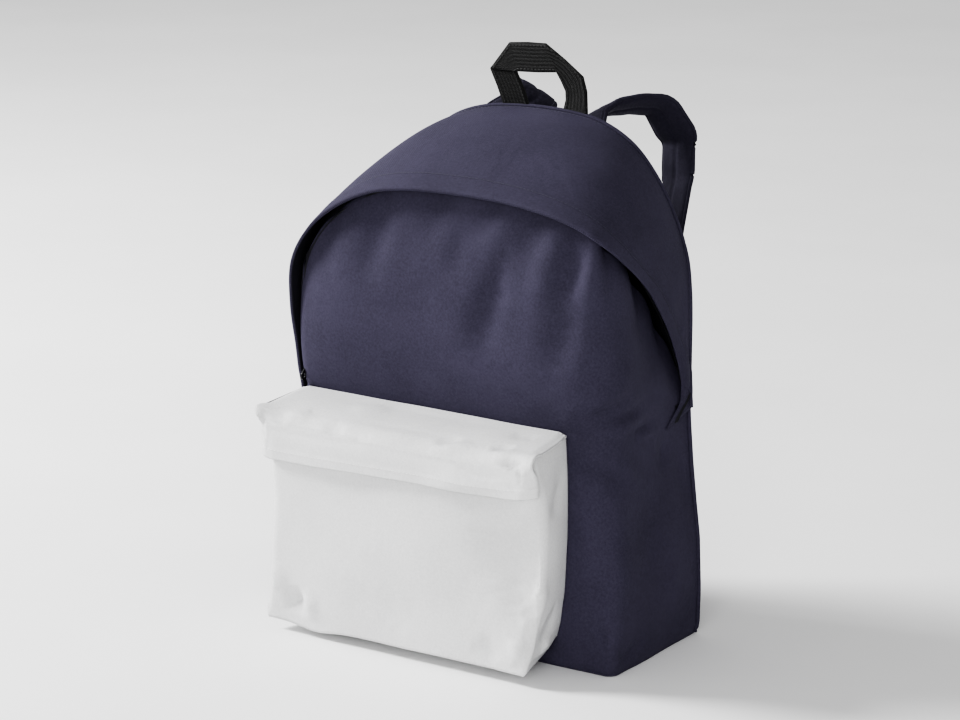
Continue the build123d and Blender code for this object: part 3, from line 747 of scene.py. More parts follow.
# Folds of the soft front and right side: a path, a width and a height
WRAP_FOLDS = (
    ([(68, -70, 372), (62, -76, 345), (53, -78, 318), (40, -78, 275), (28, -76, 235)], 12, -5.6),
    ([(50, -78, 310), (30, -76, 230)], 22, -3.0),
    ([(94, -70, 366), (86, -77, 318), (74, -78, 265)], 13, 1.6),
    ([(18, -70, 372), (14, -77, 335), (8, -79, 295)], 11, -2.6),
    ([(126, -60, 358), (116, -70, 322), (104, -74, 280)], 11, -4.2),
    ([(128, -66, 318), (114, -73, 280), (100, -76, 225)], 15, -4.8),
    ([(-56, -68, 368), (-68, -74, 320), (-78, -76, 275)], 12, -2.8),
    ([(-20, -78, 330), (-6, -80, 290), (2, -78, 250)], 24, -1.4),
    ([(-112, -70, 325), (-122, -70, 285)], 12, -1.4),
    ([(118, -64, 201), (135, -55, 211), (146, -24, 226)], 7, -3.6),
    ([(112, -66, 205), (128, -60, 222), (144, -30, 246)], 9, 2.8),
    ([(128, -60, 200), (142, -44, 204), (147, -4, 209)], 5.5, -4.0),
    ([(130, -60, 193), (145, -36, 197), (147, 4, 201)], 6, 3.2),
    ([(146, -26, 186), (147, -10, 190), (147, 12, 189)], 2.6, -2.4),
    ([(146, -22, 181), (147, -4, 184), (147, 20, 183)], 3.0, 1.8),
    ([(147, 12, 179), (148, 22, 165), (149, 18, 145)], 8, -3.6),
    ([(122, -62, 196), (136, -58, 180), (149, -30, 158), (152, 0, 130)], 9, 2.6),
    ([(113, -65, 186), (132, -62, 176), (148, -46, 160), (150, -24, 140)], 11, -4.4),
    ([(116, -65, 166), (138, -60, 158), (150, -40, 140)], 10, 1.8),
    ([(152, -20, 134), (156, -8, 104), (156, -16, 60)], 18, -3.2),
    ([(150, -50, 120), (147, -62, 92), (146, -64, 56)], 13, -3.4),
    ([(150, -62, 28), (157, -46, 14), (158, -18, 22)], 5, -3.0),
    ([(140, -65, 30), (152, -58, 32)], 5, -2.0),
    ([(158, 4, 74), (159, 30, 46), (158, 52, 24)], 18, 2.6),
    ([(147, 36, 176), (149, 48, 140), (153, 52, 100)], 9, -1.8),
    ([(-147, -40, 180), (-150, -20, 140), (-154, -30, 90)], 16, -2.2),
    ([(-152, 20, 150), (-157, 10, 90), (-158, 30, 40)], 18, 2.0),
)
# Points between which the front panel would bend forward; bend() does not use them
BLEND_START = (0, FRONT_Y * MM, WAIST_Z * MM)
BLEND_END = (0, (FRONT_Y - 30) * MM, (WAIST_Z + 52) * MM)


def make_wrap():
    """One cloth for the tub, the front panel and both soft sides, open above the waist behind."""
    upper, meets, up = upper_grid()
    upper = gathers(upper, meets, up)
    rows = TUB_ROWS + UPPER_ROWS - 1
    grid = np.zeros((rows, tub.shape[1], 3))
    keep = np.zeros(grid.shape[:2], bool)
    grid[:TUB_ROWS] = tub
    keep[:TUB_ROWS] = True
    grid[TUB_ROWS:, first_col : last_col + 1] = upper[1:]
    keep[TUB_ROWS:, first_col : last_col + 1] = True
    # Cloth that isn't there follows the waist, so that the normals stay even
    for col in (*range(first_col), *range(last_col + 1, tub.shape[1])):
        grid[TUB_ROWS:, col] = tub[-1, col] + np.linspace(1, 60, rows - TUB_ROWS)[:, None] * UP
    grid = add_folds(grid, WRAP_FOLDS, 0.5)
    grid = ripple(grid, 5, 90, 1.3)
    piece = shell("body_wrap", grid, CLOTH, navy, lining, keep=keep)
    nodes = ("tub_wrap", "front_panel", "left_side_web", "right_side_web")
    bend(piece, "front_panel", "navy_fabric", BLEND_START, BLEND_END, *nodes)


make_wrap()


def make_base():
    """Bottom panel of the bag, with its edge turned up into the seam."""
    outline = tub[0]
    rows = []
    for share in np.linspace(0, 1, 12):
        ring_line = outline.copy()
        ring_line[:, 0] *= share
        ring_line[:, 1] = BACK_Y - 2 + (outline[:, 1] - BACK_Y + 2) * share
        ring_line[:, 2] = 0.8 * (1 - share) + 0.3
        rows.append(ring_line)
    grid = np.array(rows)
    piece = shell("base_panel_cloth", grid, 1.5, navy, lining)
    return settle(piece, "bag", "navy_fabric", "base_panel")


make_base()


# ------------------------------------------------------------------ zip of the main compartment
def ribbon(name, first, second, thickness, material, closed=False, across=5):
    """A flat strip of tape or webbing between two edge lines."""
    share = np.linspace(0, 1, across)[:, None, None]
    grid = np.asarray(first)[None] * (1 - share) + np.asarray(second)[None] * share
    return shell(name, grid, thickness, material, closed=closed)


def inside_hood(behind_zip, deeper):
    """A line beside the zip line, further behind the rim and deeper inside the hood."""
    return on_hood(hood, zip_back + behind_zip, -(zip_inset + deeper))[0]


TOOTH_PITCH = 2.4
MAIN_TOOTH = (1.3, 2.2, 1.4)


def make_main_zip():
    """Tape and teeth on the wrap and on the hood."""
    facing = normals(hood)[0]
    tapes = ("panel_zip_tape", "left_web_zip_tape", "right_web_zip_tape")
    tape = ribbon("wrap_zip_tape", inside_hood(-3, 1.8), inside_hood(3, 1.4), TAPE, black_tape)
    bend(tape, "front_panel", "zip_tape", BLEND_START, BLEND_END, *tapes)
    teeth = beads("wrap_zip_teeth", inside_hood(3.6, 1.2), facing, MAIN_TOOTH, TOOTH_PITCH, black_teeth)
    bend(teeth, "front_panel", "zip_tape", BLEND_START, BLEND_END)
    tapes = ("hood_zip_tape", "left_hood_zip_tape", "right_hood_zip_tape")
    tape = ribbon("hood_zip_tape_band", inside_hood(5.4, 1.2), inside_hood(12, -3.0), TAPE, black_tape)
    settle(tape, "bag", "zip_tape", *tapes)
    teeth = beads("hood_zip_teeth", inside_hood(4.8, 1.2), facing, MAIN_TOOTH, TOOTH_PITCH, black_teeth)
    settle(teeth, "bag", "zip_tape")


make_main_zip()


# ------------------------------------------------------------------ stitching
STITCH = (2.5, 0.75, 0.55)
STITCH_PITCH = 3.4


def stitches(name, line, facing, material, body, slot):
    settle(beads(name, line, facing, STITCH, STITCH_PITCH, material), body, slot)


def make_hood_stitches():
    """Rows of stitches along the hem and the back seam."""
    every = np.ones(HOOD_COLS)
    line, facing = on_hood(hood_final, HEM_W * every, 0.25 * every)
    stitches("hem_stitches", line[3:-16], facing[3:-16], navy_thread, "bag", "navy_fabric")
    out = normals(hood_final)
    back_line = hood_final[-3] + out[-3] * 0.2
    stitches("back_seam_stitches", back_line, out[-3], navy_thread, "bag", "navy_fabric")


make_hood_stitches()


# ------------------------------------------------------------------ back of the bag
OUTLINE_POINTS = 330


def seam_outline():
    """The back seam: up the left side from the floor, over the top and down the right side."""
    left = tub[::3, 0]
    right = tub[::-3, -1]
    top = hood_final[-1]
    line = np.vstack([left, top, right])
    line[:, 1] = BACK_Y - 1.5
    run = lengths(line)
    return read_line(line, run, np.linspace(0, run[-1], OUTLINE_POINTS))


back_outline = seam_outline()


PIPING_R = 1.9


def make_piping():
    """Bound edge all round the back."""
    line = back_outline.copy()
    line[:, 2] = np.maximum(line[:, 2], 2.0)
    centre = np.array([0, BACK_Y, 200.0])
    line = line + unit((line - centre) * (1, 0, 1)) * 0.6
    bottom = np.linspace(line[-1], line[0], 90)[1:-1]
    loop = np.vstack([line, bottom, line[:2]])
    piece = tube("back_seam_piping", loop, PIPING_R, navy)
    settle(piece, "bag", "navy_fabric", "back_seam_binding")


make_piping()


CLOTH_FRAMES = 20
CLOTH_PRESSURE = 4.0


def simulate(piece, pinned, cap):
    """Blows a closed cloth form up between its sewn lines, by the cap in mm at most."""
    rest = np.array([v.co for v in piece.data.vertices])
    group = piece.vertex_groups.new(name="sewn")
    for index, weight in enumerate(pinned):
        if weight > 0.01:
            group.add([index], float(weight), "REPLACE")
    scene = bpy.context.scene
    cloth = piece.modifiers.new("cloth", "CLOTH")
    cloth.settings.quality = 6
    cloth.settings.mass = 0.3
    cloth.settings.tension_stiffness = 25
    cloth.settings.compression_stiffness = 25
    cloth.settings.bending_stiffness = 0.6
    cloth.settings.use_pressure = True
    cloth.settings.uniform_pressure_force = CLOTH_PRESSURE
    cloth.settings.vertex_group_mass = "sewn"
    cloth.settings.effector_weights.gravity = 0
    cloth.collision_settings.use_collision = False
    scene.frame_start, scene.frame_end = 1, CLOTH_FRAMES
    cloth.point_cache.frame_start, cloth.point_cache.frame_end = 1, CLOTH_FRAMES
    for number in range(1, CLOTH_FRAMES + 1):
        scene.frame_set(number)
    graph = bpy.context.evaluated_depsgraph_get()
    blown = piece.evaluated_get(graph)
    moved = np.array([v.co for v in blown.data.vertices])
    piece.modifiers.remove(cloth)
    piece.vertex_groups.remove(group)
    scene.frame_set(1)
    step = moved - rest
    distance = np.linalg.norm(step, axis=1, keepdims=True)
    step *= np.minimum(1, cap * MM / np.maximum(distance, 1e-9))
    piece.data.vertices.foreach_set("co", (rest + step).astype(np.float32).ravel())
    piece.data.update()


def subdivide(piece):
    """Rounds a mesh with one level of subdivision."""
    modifier = piece.modifiers.new("smooth", "SUBSURF")
    modifier.levels = modifier.render_levels = 1
    graph = bpy.context.evaluated_depsgraph_get()
    mesh = bpy.data.meshes.new_from_object(piece.evaluated_get(graph))
    piece.modifiers.clear()
    old = piece.data
    piece.data = mesh
    mesh.name = piece.name
    bpy.data.meshes.remove(old)


PAD_ROWS, PAD_COLS = 84, 64
# The two upright channels and the cross channel that the pad is sewn down along
PAD_SEAM_X = 46
PAD_SEAM_LOW = 42
PAD_SEAM_HIGH = 352
PAD_RISE = 5


def make_back_pad():
    """Padded back panel: two skins that meet in the seam, sewn down along channels."""
    left = back_outline[: len(back_outline) // 2]
    right = back_outline[len(back_outline) // 2 :][::-1]
    top = min(left[-1][2], right[-1][2])
    turn = np.linspace(0, 1, PAD_ROWS)
    height = 2 + (top - 3.5) * (1 - (1 - turn) ** 1.35)
    left_x = np.interp(height, left[:, 2], left[:, 0]) + 1.6
    right_x = np.interp(height, right[:, 2], right[:, 0]) - 1.6
    share = np.linspace(0, 1, PAD_COLS)
    x = left_x[:, None] * (1 - share) + right_x[:, None] * share
    z = np.repeat(height[:, None], PAD_COLS, axis=1)
    from_side = np.minimum(x - left_x[:, None], right_x[:, None] - x)
    edge = np.minimum(from_side, np.minimum(z - height[0], (height[-1] - z) * 1.5))
    swell = smooth_step(edge, 0, 20)
    sewn = np.maximum(
        bell(np.abs(x), PAD_SEAM_X, 1.6) * (z > PAD_SEAM_LOW) * (z < PAD_SEAM_HIGH),
        bell(z, PAD_SEAM_LOW, 1.9),
    )
    outside = np.stack([x, BACK_Y - 1.2 + 1.6 * swell - 2.0 * sewn, z], axis=-1)
    inside = np.stack([x, BACK_Y - 2.4 - 4.5 * swell * (1 - 0.5 * sewn), z], axis=-1)
    faces, which = two_skins(grid_faces(PAD_ROWS, PAD_COLS)[:, ::-1], PAD_ROWS * PAD_COLS)
    verts = np.vstack([outside.reshape(-1, 3), inside.reshape(-1, 3)])
    piece = new_piece("back_pad", verts, faces, [navy_pad, lining], which)
    held = np.maximum(sewn, 1 - smooth_step(edge, 1, 6)).ravel()
    simulate(piece, np.concatenate([held, np.maximum(held, 0.9)]), PAD_RISE)
    subdivide(piece)
    settle(piece, "bag", "navy_fabric", "back_panel", "back_foam", "back_lining")
    for side in (-1, 1):
        line = line_at(side * PAD_SEAM_X, BACK_Y - 1.4, np.linspace(PAD_SEAM_LOW, PAD_SEAM_HIGH, 60))
        name = "back_channel_stitches_" + ("left" if side < 0 else "right")
        stitches(name, line, BACKWARD, navy_thread, "bag", "navy_fabric")


make_back_pad()


# ------------------------------------------------------------------ shoulder straps
# Middle line of the right strap, from its root over the bends to the ladder lock
STRAP_LINE = [
    (46, 69, 394), (39, 77, 403), (34, 91, 411.5), (42, 108, 417), (58, 122, 420), (72.9, 135, 418.5),
    (82.1, 151, 389.8), (83.6, 148, 356.5), (86, 127, 312), (88.5, 102, 240), (100.5, 85, 151.3),
]
# Rise of the outer edge over the inner one at each of those points
STRAP_TILT = [3, 4, 8, 10, 10, 9, 15, 8, 5, 3.5, 3.3]
# How far the left strap leans inward at each of those points
LEFT_LEAN = [-4, -7, 0, 12, 20, 22, 18, 13, 8, 3, 0]
STRAP_ACROSS = unit(np.array([17.2, -4.3, 3.3]))
STRAP_HALF = 17.5
STRAP_EDGE_T = 3.2
STRAP_RING = 15
STRAP_RISE = 2.2
EDGE_R = 1.7


def strap_path(side):
    """Middle line of a strap and the direction across it; side is 1 on the right, -1 on the left."""
    points = np.array(STRAP_LINE, float)
    points[:, 0] *= side
    if side < 0:
        points[:, 0] += LEFT_LEAN
    line = rounded_line(points, 7, 2.6)
    run = lengths(line)
    marks = [run[np.argmin(np.linalg.norm(line - point, axis=1))] for point in points]
    tilt = np.interp(run, marks, STRAP_TILT)
    across = np.column_stack([np.full(len(line), 34.4 * side / 2), np.full(len(line), -4.3), tilt])
    return line, unit(across)


def strap_frame(side):
    """Middle line of a strap with the directions across it and out of its face."""
    line, across = strap_path(side)
    ahead = unit(np.gradient(line, axis=0))
    across = unit(across - ahead * (ahead * across).sum(1, keepdims=True))
    over = unit(np.cross(ahead, across)) * -side
    return line, across, over


def make_strap(side, word):
    """A padded strap: two tubes of foam with a sewn groove between them and bound edges."""
    line, across, over = strap_frame(side)
    turning = np.linalg.norm(np.gradient(unit(np.gradient(line, axis=0)), axis=0), axis=1)
    bend = np.minimum(turning / 0.12, 1)
    share = np.linspace(-1, 1, STRAP_RING)
    dome = np.sqrt(np.maximum(0, 1 - np.abs(share) ** 2.6))
    groove = bell(share, 0, 0.09)
    half_t = STRAP_EDGE_T / 2 + 2.6 * dome * (1 - 0.6 * groove)
    place = np.arange(len(line))
    end = smooth_step(place, 0, 5) * smooth_step(place[::-1], 0, 4)
    rings = []
    for index, centre in enumerate(line):
        puff = (0.55 + 0.45 * end[index]) * (1 - 0.22 * bend[index])
        width = STRAP_HALF * (1 - 0.12 * (1 - end[index]))
        wide = across[index] * width
        top = [centre + wide * s + over[index] * h * puff for s, h in zip(share, half_t)]
        low = [centre + wide * s - over[index] * h * puff for s, h in zip(share, half_t)]
        rings.append(np.array(top + low[::-1]))
    grid = np.array(rings)
    rows, sides = grid.shape[:2]
    faces = grid_faces(rows, sides, closed=True)
    if side > 0:
        faces = faces[:, ::-1]
    ends = [list(range(sides)), [(rows - 1) * sides + k for k in range(sides)][::-1]]
    if side < 0:
        ends = [corners[::-1] for corners in ends]
    piece = new_piece(word + "_strap_pad", grid.reshape(-1, 3), faces.tolist() + ends, [strap_navy_painted_shade])
    ring_pin = np.concatenate([groove, groove[::-1]])
    ring_pin[[0, STRAP_RING - 1, STRAP_RING, 2 * STRAP_RING - 1]] = 1
    pinned = np.tile(ring_pin, rows)
    pinned[: sides * 2] = 1
    pinned[-sides * 2 :] = 1
    simulate(piece, pinned, STRAP_RISE)
    subdivide(piece)
    body = word + "_strap"
    nodes = [word + part for part in ("_strap_face", "_strap_foam", "_strap_lining")]
    settle(piece, body, "strap_fabric", *nodes)
    seams = (("middle", 0.0, 2.35), ("inner_edge", -0.86, 3.0), ("outer_edge", 0.86, 3.0))
    for part, offset, lift in seams:
        seam = line + across * STRAP_HALF * offset + over * lift * 0.82
        name = f"{word}_strap_{part}_stitches"
        stitches(name, seam[4:-3], over[4:-3], navy_thread, body, "strap_fabric")
    edges = []
    for edge_side in (-1, 1):
        edge = line + across * STRAP_HALF * edge_side
        edges.append(tube(f"edge{edge_side}", edge, EDGE_R, strap_navy_painted_shade))
    settle(join(edges, word + "_strap_edge_binding"), body, "strap_fabric")


SIDES = ((1, "right"), (-1, "left"))
for strap_side, strap_word in SIDES:
    make_strap(strap_side, strap_word)


def loop_line(centre, x_axis, z_axis, half_x, half_z, radius):
    """A closed rounded rectangle in the plane of two axes."""
    corners = [(-1, -1), (1, -1), (1, 1), (-1, 1)]
    points = [centre + x_axis * half_x * a + z_axis * half_z * b for a, b in corners]
    middle = (points[0] + points[1]) / 2
    line = rounded_line([middle, *points[1:], points[0], middle], radius, 1.2)
    return line[:-1]


def make_strap_hardware(side, word):
    """Webbing loop round the ladder lock, and the webbing down to the bag's lower corner."""
    body = word + "_strap"
    lock_low, lock_high = limits(word + "_ladder_lock")
    loop_low, loop_high = limits(word + "_lock_loop")
    across = STRAP_ACROSS.copy() * (side, 1, 1)
    line, _, over = strap_frame(side)
    out = over[-1]
    down = unit(line[-1] - line[-4])
    centre = (loop_low + loop_high) / 2
    loop = loop_line(centre, out, down, 5.2, 5.6, 3.2)
    half = across * 12.2
    piece = ribbon(word + "_lock_loop_band", loop - half, loop + half, 1.7 * side, webbing, closed=True)
    settle(piece, body, "webbing", word + "_lock_loop")
    low, high = limits(word + "_webbing")
    outer_x = high[0] if side > 0 else low[0]
    foot = np.array([outer_x - 12 * side, low[1] + 3, low[2] + 6])
    lock = (lock_low + lock_high) / 2
    top = lock + down * 9
    middle = (foot + top) / 2 + np.array([0, 3.5, -3])
    path = evenly([foot - unit(top - foot) * 8, foot, middle, top, lock + down * 3 + out * 1.5], 60)
    ahead = unit(np.gradient(path, axis=0))
    wide = unit(across - ahead * (ahead @ across)[:, None]) * 12.5
    piece = ribbon(word + "_adjusting_webbing", path - wide, path + wide, WEBBING * side, webbing)
    bend(piece, body, "webbing", tuple(foot * MM), tuple(top * MM), word + "_webbing")
    coat(plastic, word + "_ladder_lock")


def make_corner_tab(side, word):
    """Triangle of cloth that holds the webbing in the lower back corner."""
    low, high = limits(word + "_corner_tab")
    x_out = high[0] if side > 0 else low[0]
    x_in = low[0] if side > 0 else high[0]
    y = high[1] + 0.3
    edge = [(x_out, y, 12), (x_out - side * 1.5, y, 33), (x_out - side * 3, y, 54)]
    inner = [(x_in + side * 6, y, 20), (x_in, y + 0.6, 30), (x_in + side * 1, y, 40)]
    inner, edge = evenly(inner, 16), evenly(edge, 16)
    piece = ribbon(word + "_corner_tab_cloth", inner, edge, CLOTH * side, navy, across=12)
    settle(piece, "bag", "navy_fabric", word + "_corner_tab")
    line = inner + (side * 3, 0.4, 0)
    stitches(word + "_corner_tab_stitches", line, BACKWARD, navy_thread, "bag", "navy_fabric")


for strap_side, strap_word in SIDES:
    make_strap_hardware(strap_side, strap_word)
    make_corner_tab(strap_side, strap_word)


def make_yoke():
    """Band across the back that covers the roots of the straps."""
    low, high = limits("strap_yoke")
    rows = []
    for share in np.linspace(0, 1, 9):
        z = low[2] + (high[2] - low[2]) * share
        x = np.linspace(high[0], low[0], 70)
        dip = 2.2 * (x / high[0]) ** 2
        lift = 2.4 * np.sqrt(np.maximum(0, 1 - (2 * share - 1) ** 2)) + 1.0
        rows.append(line_at(x, high[1] + lift, z - dip))
    piece = shell("strap_yoke_band", np.array(rows), CLOTH, navy)
    settle(piece, "bag", "strap_fabric", "strap_yoke")
    for index, row in enumerate((1, 7)):
        line = rows[row] + (0, 0.25, 0)
        stitches(f"yoke_stitches_{index}", line, BACKWARD, navy_thread, "bag", "strap_fabric")


make_yoke()


# ------------------------------------------------------------------ grab handle
# Outer and inner edge of the folded webbing in the plane of the back seam, with its depth
HANDLE = [
    ((-32, 412), (-7, 412), 62.6),
    ((-33.5, 421), (-8.5, 421), 62.6),
    ((-39, 434), (-13.5, 434), 62.4),
    ((-45, 446.6), (-20, 446.6), 62.0),
    ((-44.6, 448), (-19.6, 447.8), 60.6),
    ((-26, 471), (-17, 448), 60.4),
    ((-9, 472.6), (2, 449), 60.6),
    ((8, 473), (19, 450.6), 61.0),
    ((26, 461.5), (23, 444), 61.6),
    ((43, 449), (27, 436), 62.2),
    ((46.3, 437), (27, 429), 62.8),
    ((47, 421), (25, 421), 62.8),
    ((47, 412), (25, 412), 62.6),
]


HANDLE_T = 2.2


def make_handle():
    """The grab handle: flat webbing, folded over at its corners, with a stitched row by each edge."""
    outer, inner = [], []
    for (a_out, a_in, a_y), (b_out, b_in, b_y) in zip(HANDLE, HANDLE[1:]):
        for t in np.linspace(0, 1, 7, endpoint=False):
            y = a_y + (b_y - a_y) * t
            for line, a, b in ((outer, a_out, b_out), (inner, a_in, b_in)):
                line.append((a[0] + (b[0] - a[0]) * t, y, a[1] + (b[1] - a[1]) * t))
    share = np.linspace(0, 1, 12)[:, None, None]
    grid = np.array(inner)[None] * (1 - share) + np.array(outer)[None] * share
    piece = shell("grab_handle_webbing", grid, HANDLE_T, webbing)
    settle(piece, "grab_handle", "webbing", "grab_handle")
    for part, at in (("outer", 0.9), ("inner", 0.1)):
        line = np.array(inner) * (1 - at) + np.array(outer) * at + (0, -0.15, 0)
        name = f"handle_{part}_stitches"
        stitches(name, line[4:-4], FORWARD, black_thread, "grab_handle", "webbing")


make_handle()


def make_anchor_tabs():
    """Ends of the handle's webbing, sewn down on the back below the seam."""
    low, high = limits("handle_anchor_tabs")
    half = 11
    middles = (low[0] + half, high[0] - half)
    pieces = []
    for middle in middles:
        z = np.linspace(low[2], high[2] + 8, 12)
        y = high[1] + 0.2 - 4.5 * smooth_step(z, high[2], high[2] + 8)
        edges = (line_at(middle - half, y, z), line_at(middle + half, y, z))
        pieces.append(ribbon("anchor", *edges, WEBBING, webbing))
    settle(join(pieces, "handle_anchor_webbing"), "bag", "webbing", "handle_anchor_tabs")
    rows = []
    for middle in middles:
        corners = [(-8, 2), (8, 2), (8, 12), (-8, 12), (-8, 2), (8, 12)]
        points = [(middle + x, high[1] + 0.4, low[2] + z) for x, z in corners]
        line = rounded_line(points, 0.4, 1.0)
        rows.append(beads("box", line, BACKWARD, (2.0, 0.7, 0.5), 2.6, black_thread))
    settle(join(rows, "anchor_box_stitches"), "bag", "webbing")


make_anchor_tabs()


# ------------------------------------------------------------------ front pocket
POCKET_BACK = limits("pocket_gusset")[1][1]
# Columns of the pocket's sides, corners and front, rows of its floor and wall, and its heights
P_SIDE, P_ARC, P_FRONT = 26, 10, 100
P_FLOOR_ROWS, P_WALL_ROWS = 9, 74
P_FOOT, P_TOP = 9.0, 187.5
P_FRONT_Y = -121
P_CLOTH = 1.4


# Ends of the pocket's front, radii of its corners, and the wall under the flap's roll, by height
POCKET_LEFT = [
    (6, -144.5), (20, -141.5), (58, -140), (110, -138.5), (160, -140), (176, -142.5), (190, -148),
]
POCKET_RIGHT = [(8, 110), (22, 113.5), (50, 116.5), (100, 118.5), (150, 118), (175, 116.5), (190, 115.5)]
LEFT_RADIUS = [(8, 3), (40, 9), (110, 12), (165, 8), (188, 3)]
RIGHT_RADIUS = [(8, 3), (30, 9), (60, 19), (140, 19), (170, 10), (188, 3)]
UNDER_ROLL = [(169, -121), (177, -117.5), (184, -110.5), (188, -102.0)]


def pocket_plan(z):
    """Plan of the pocket's wall at one height: its right side bulges, its corners stand out."""
    left = read_table(z, POCKET_LEFT)
    right = read_table(z, POCKET_RIGHT)
    front = P_FRONT_Y + 0.8 * smooth_step(z, 30, 8)
    radii = read_table(z, LEFT_RADIUS), read_table(z, RIGHT_RADIUS)
    counts = (P_SIDE, P_ARC, P_FRONT, P_ARC, P_SIDE)
    left_back = min(left + 4.5, -140)
    return plan_line(left_back, left, right, right - 5, front, POCKET_BACK, *radii, counts)


P_COLS = 2 * P_SIDE + 2 * P_ARC + P_FRONT
P_RIGHT_START = P_SIDE + P_ARC + P_FRONT


def pocket_grid():
    """The pocket's floor and walls, as one grid that runs out along the floor and up."""
    col = np.arange(P_COLS)
    right_way = np.clip((col - P_RIGHT_START) / (P_ARC + P_SIDE), 0, 1)
    left_way = np.clip((P_SIDE + P_ARC - col) / (P_ARC + P_SIDE), 0, 1)
    side_way = np.maximum(right_way, left_way)
    low = P_FOOT + 11 * smooth_step(side_way, 0.02, 0.35) + 6 * smooth_step(side_way, 0.7, 1.0)
    front_way = np.clip((col - P_SIDE - P_ARC) / P_FRONT, 0, 1)
    low -= 3.5 * bell(front_way, 0.19, 0.08)
    high = P_TOP + 4.0 * smooth_step(side_way, 0.05, 1.0)
    soft = smooth_step(front_way, 0.0, 0.12) * smooth_step(front_way, 1.0, 0.88)
    walls = []
    for share in np.linspace(0, 1, P_WALL_ROWS):
        z = low + (high - low) * share
        plan = pocket_plan(P_FOOT + (P_TOP - P_FOOT) * share)
        under_roll = read_table(z, UNDER_ROLL)
        plan[:, 1] += soft * np.maximum(under_roll - plan[:, 1], 0) * (z > 168)
        walls.append(np.column_stack([plan, z]))
    foot = walls[0]
    floor = []
    for share in np.linspace(0.02, 0.985, P_FLOOR_ROWS):
        row = foot.copy()
        row[:, 0] = foot[:, 0] * (0.88 + 0.12 * share)
        row[:, 1] = POCKET_BACK + (foot[:, 1] - POCKET_BACK) * share
        row[:, 2] = foot[:, 2] + 1.2 * (1 - share)
        floor.append(row)
    return np.array(floor + walls)


POCKET_FOLDS = (
    ([(104, -121, 150), (106, -121, 110), (104, -121, 60), (106, -121, 26)], 15, -4.4),
    ([(70, -121, 140), (84, -121, 100), (96, -121, 60)], 18, -2.6),
    ([(106, -121, 84), (116, -118, 66)], 7, 2.6),
    ([(112, -119, 50), (108, -121, 22)], 5, -1.6),
    ([(99, -121, 40), (104, -121, 16)], 7, 1.8),
    ([(-121, -121, 40), (-113, -121, 27), (-108, -121, 16)], 8, -4.4),
    ([(-103, -121, 42), (-98, -121, 26), (-99, -121, 12)], 6, 2.0),
    ([(-132, -121, 60), (-128, -121, 30)], 8, 1.6),
    ([(-80, -121, 60), (-30, -121, 38), (20, -121, 30)], 16, -1.5),
    ([(-70, -121, 110), (-20, -121, 92), (40, -121, 66), (80, -121, 40)], 18, 1.4),
    ([(60, -121, 28), (92, -121, 22)], 9, -1.6),
    ([(-100, -122, 146), (-60, -122, 140), (-10, -122, 137)], 9, -1.2),
    ([(118, -112, 30), (119, -90, 40), (118, -72, 60)], 7, -2.2),
    ([(119, -100, 26), (118, -80, 26)], 5, 1.6),
    ([(120, -104, 130), (121, -86, 146), (118, -70, 170)], 9, -1.8),
)


def pocket_folds(grid):
    """Bulges of the filled pocket, and its folds."""
    front = bell(grid[..., 0], -15, 110) * bell(grid[..., 2], 80, 75) * (grid[..., 1] < -112)
    grid = push(grid, 1.6 * front)
    side = smooth_step(grid[..., 0], 108, 116) * bell(grid[..., 1], -94, 20) * bell(grid[..., 2], 100, 70)
    grid = push(grid, 0.6 * side)
    recede = smooth_step(grid[..., 0], 0, 112) * smooth_step(grid[..., 1], -108, -119)
    grid[..., 1] += 8 * recede * bell(grid[..., 2], 88, 45)
    grid = add_folds(grid, POCKET_FOLDS, 0.45, 1.5)
    return ripple(grid, 11, 70, 1.0)


def make_pocket_body():
    """Floor and walls of the pocket, open along the zip under the flap."""
    grid = pocket_folds(pocket_grid())
    zip_low = limits("pocket_zip_tape_low")[0][2]
    zip_high = limits("pocket_zip_tape_high")[1][2]
    height = grid[..., 2]
    col = np.arange(P_COLS)[None]
    in_walls = np.arange(len(grid))[:, None] >= P_FLOOR_ROWS
    on_front = (col > P_SIDE + P_ARC - 2) & (col < P_RIGHT_START + 2)
    open_band = on_front & in_walls & (height > zip_low - 0.5) & (height < zip_high + 0.5)
    piece = shell("pocket_body", grid, P_CLOTH, light, lining, keep=~open_band)
    settle(piece, "bag", "light_fabric", "pocket_gusset", "pocket_front", "pocket_header")


make_pocket_body()

TOP_COLS = 130
TOP_ROWS = 84
# Side view of the top and flap, from the back seam to the hem: Y, Z
TOP_PROFILE = [
    (-65.8, 194), (-78, 193.2), (-98, 191.4), (-114, 189.6), (-121.5, 187.2), (-125.2, 182), (-126.6, 172),
    (-127, 160), (-126.6, 148),
]
# The same away from the corners, where the cloth rolls over softly
SOFT_PROFILE = [
    (-65.8, 194), (-78, 193.6), (-95, 192), (-108, 189), (-117.5, 184), (-124, 177), (-126.8, 168),
    (-127.2, 158), (-126.6, 148),
]


# Left and right end at each point of the profile, and the drop of the hem across the flap
TOP_LEFT = [-143, -144.5, -145.5, -147.5, -149.5, -147.5, -143, -141.5, -140.5]
TOP_RIGHT = [112, 115, 116.5, 117.2, 117.8, 118, 119, 120, 120]
HEM_DROP = [(0, -1), (0.2, 0), (0.5, 2.5), (0.77, 3.5), (0.92, 5), (1, 8)]


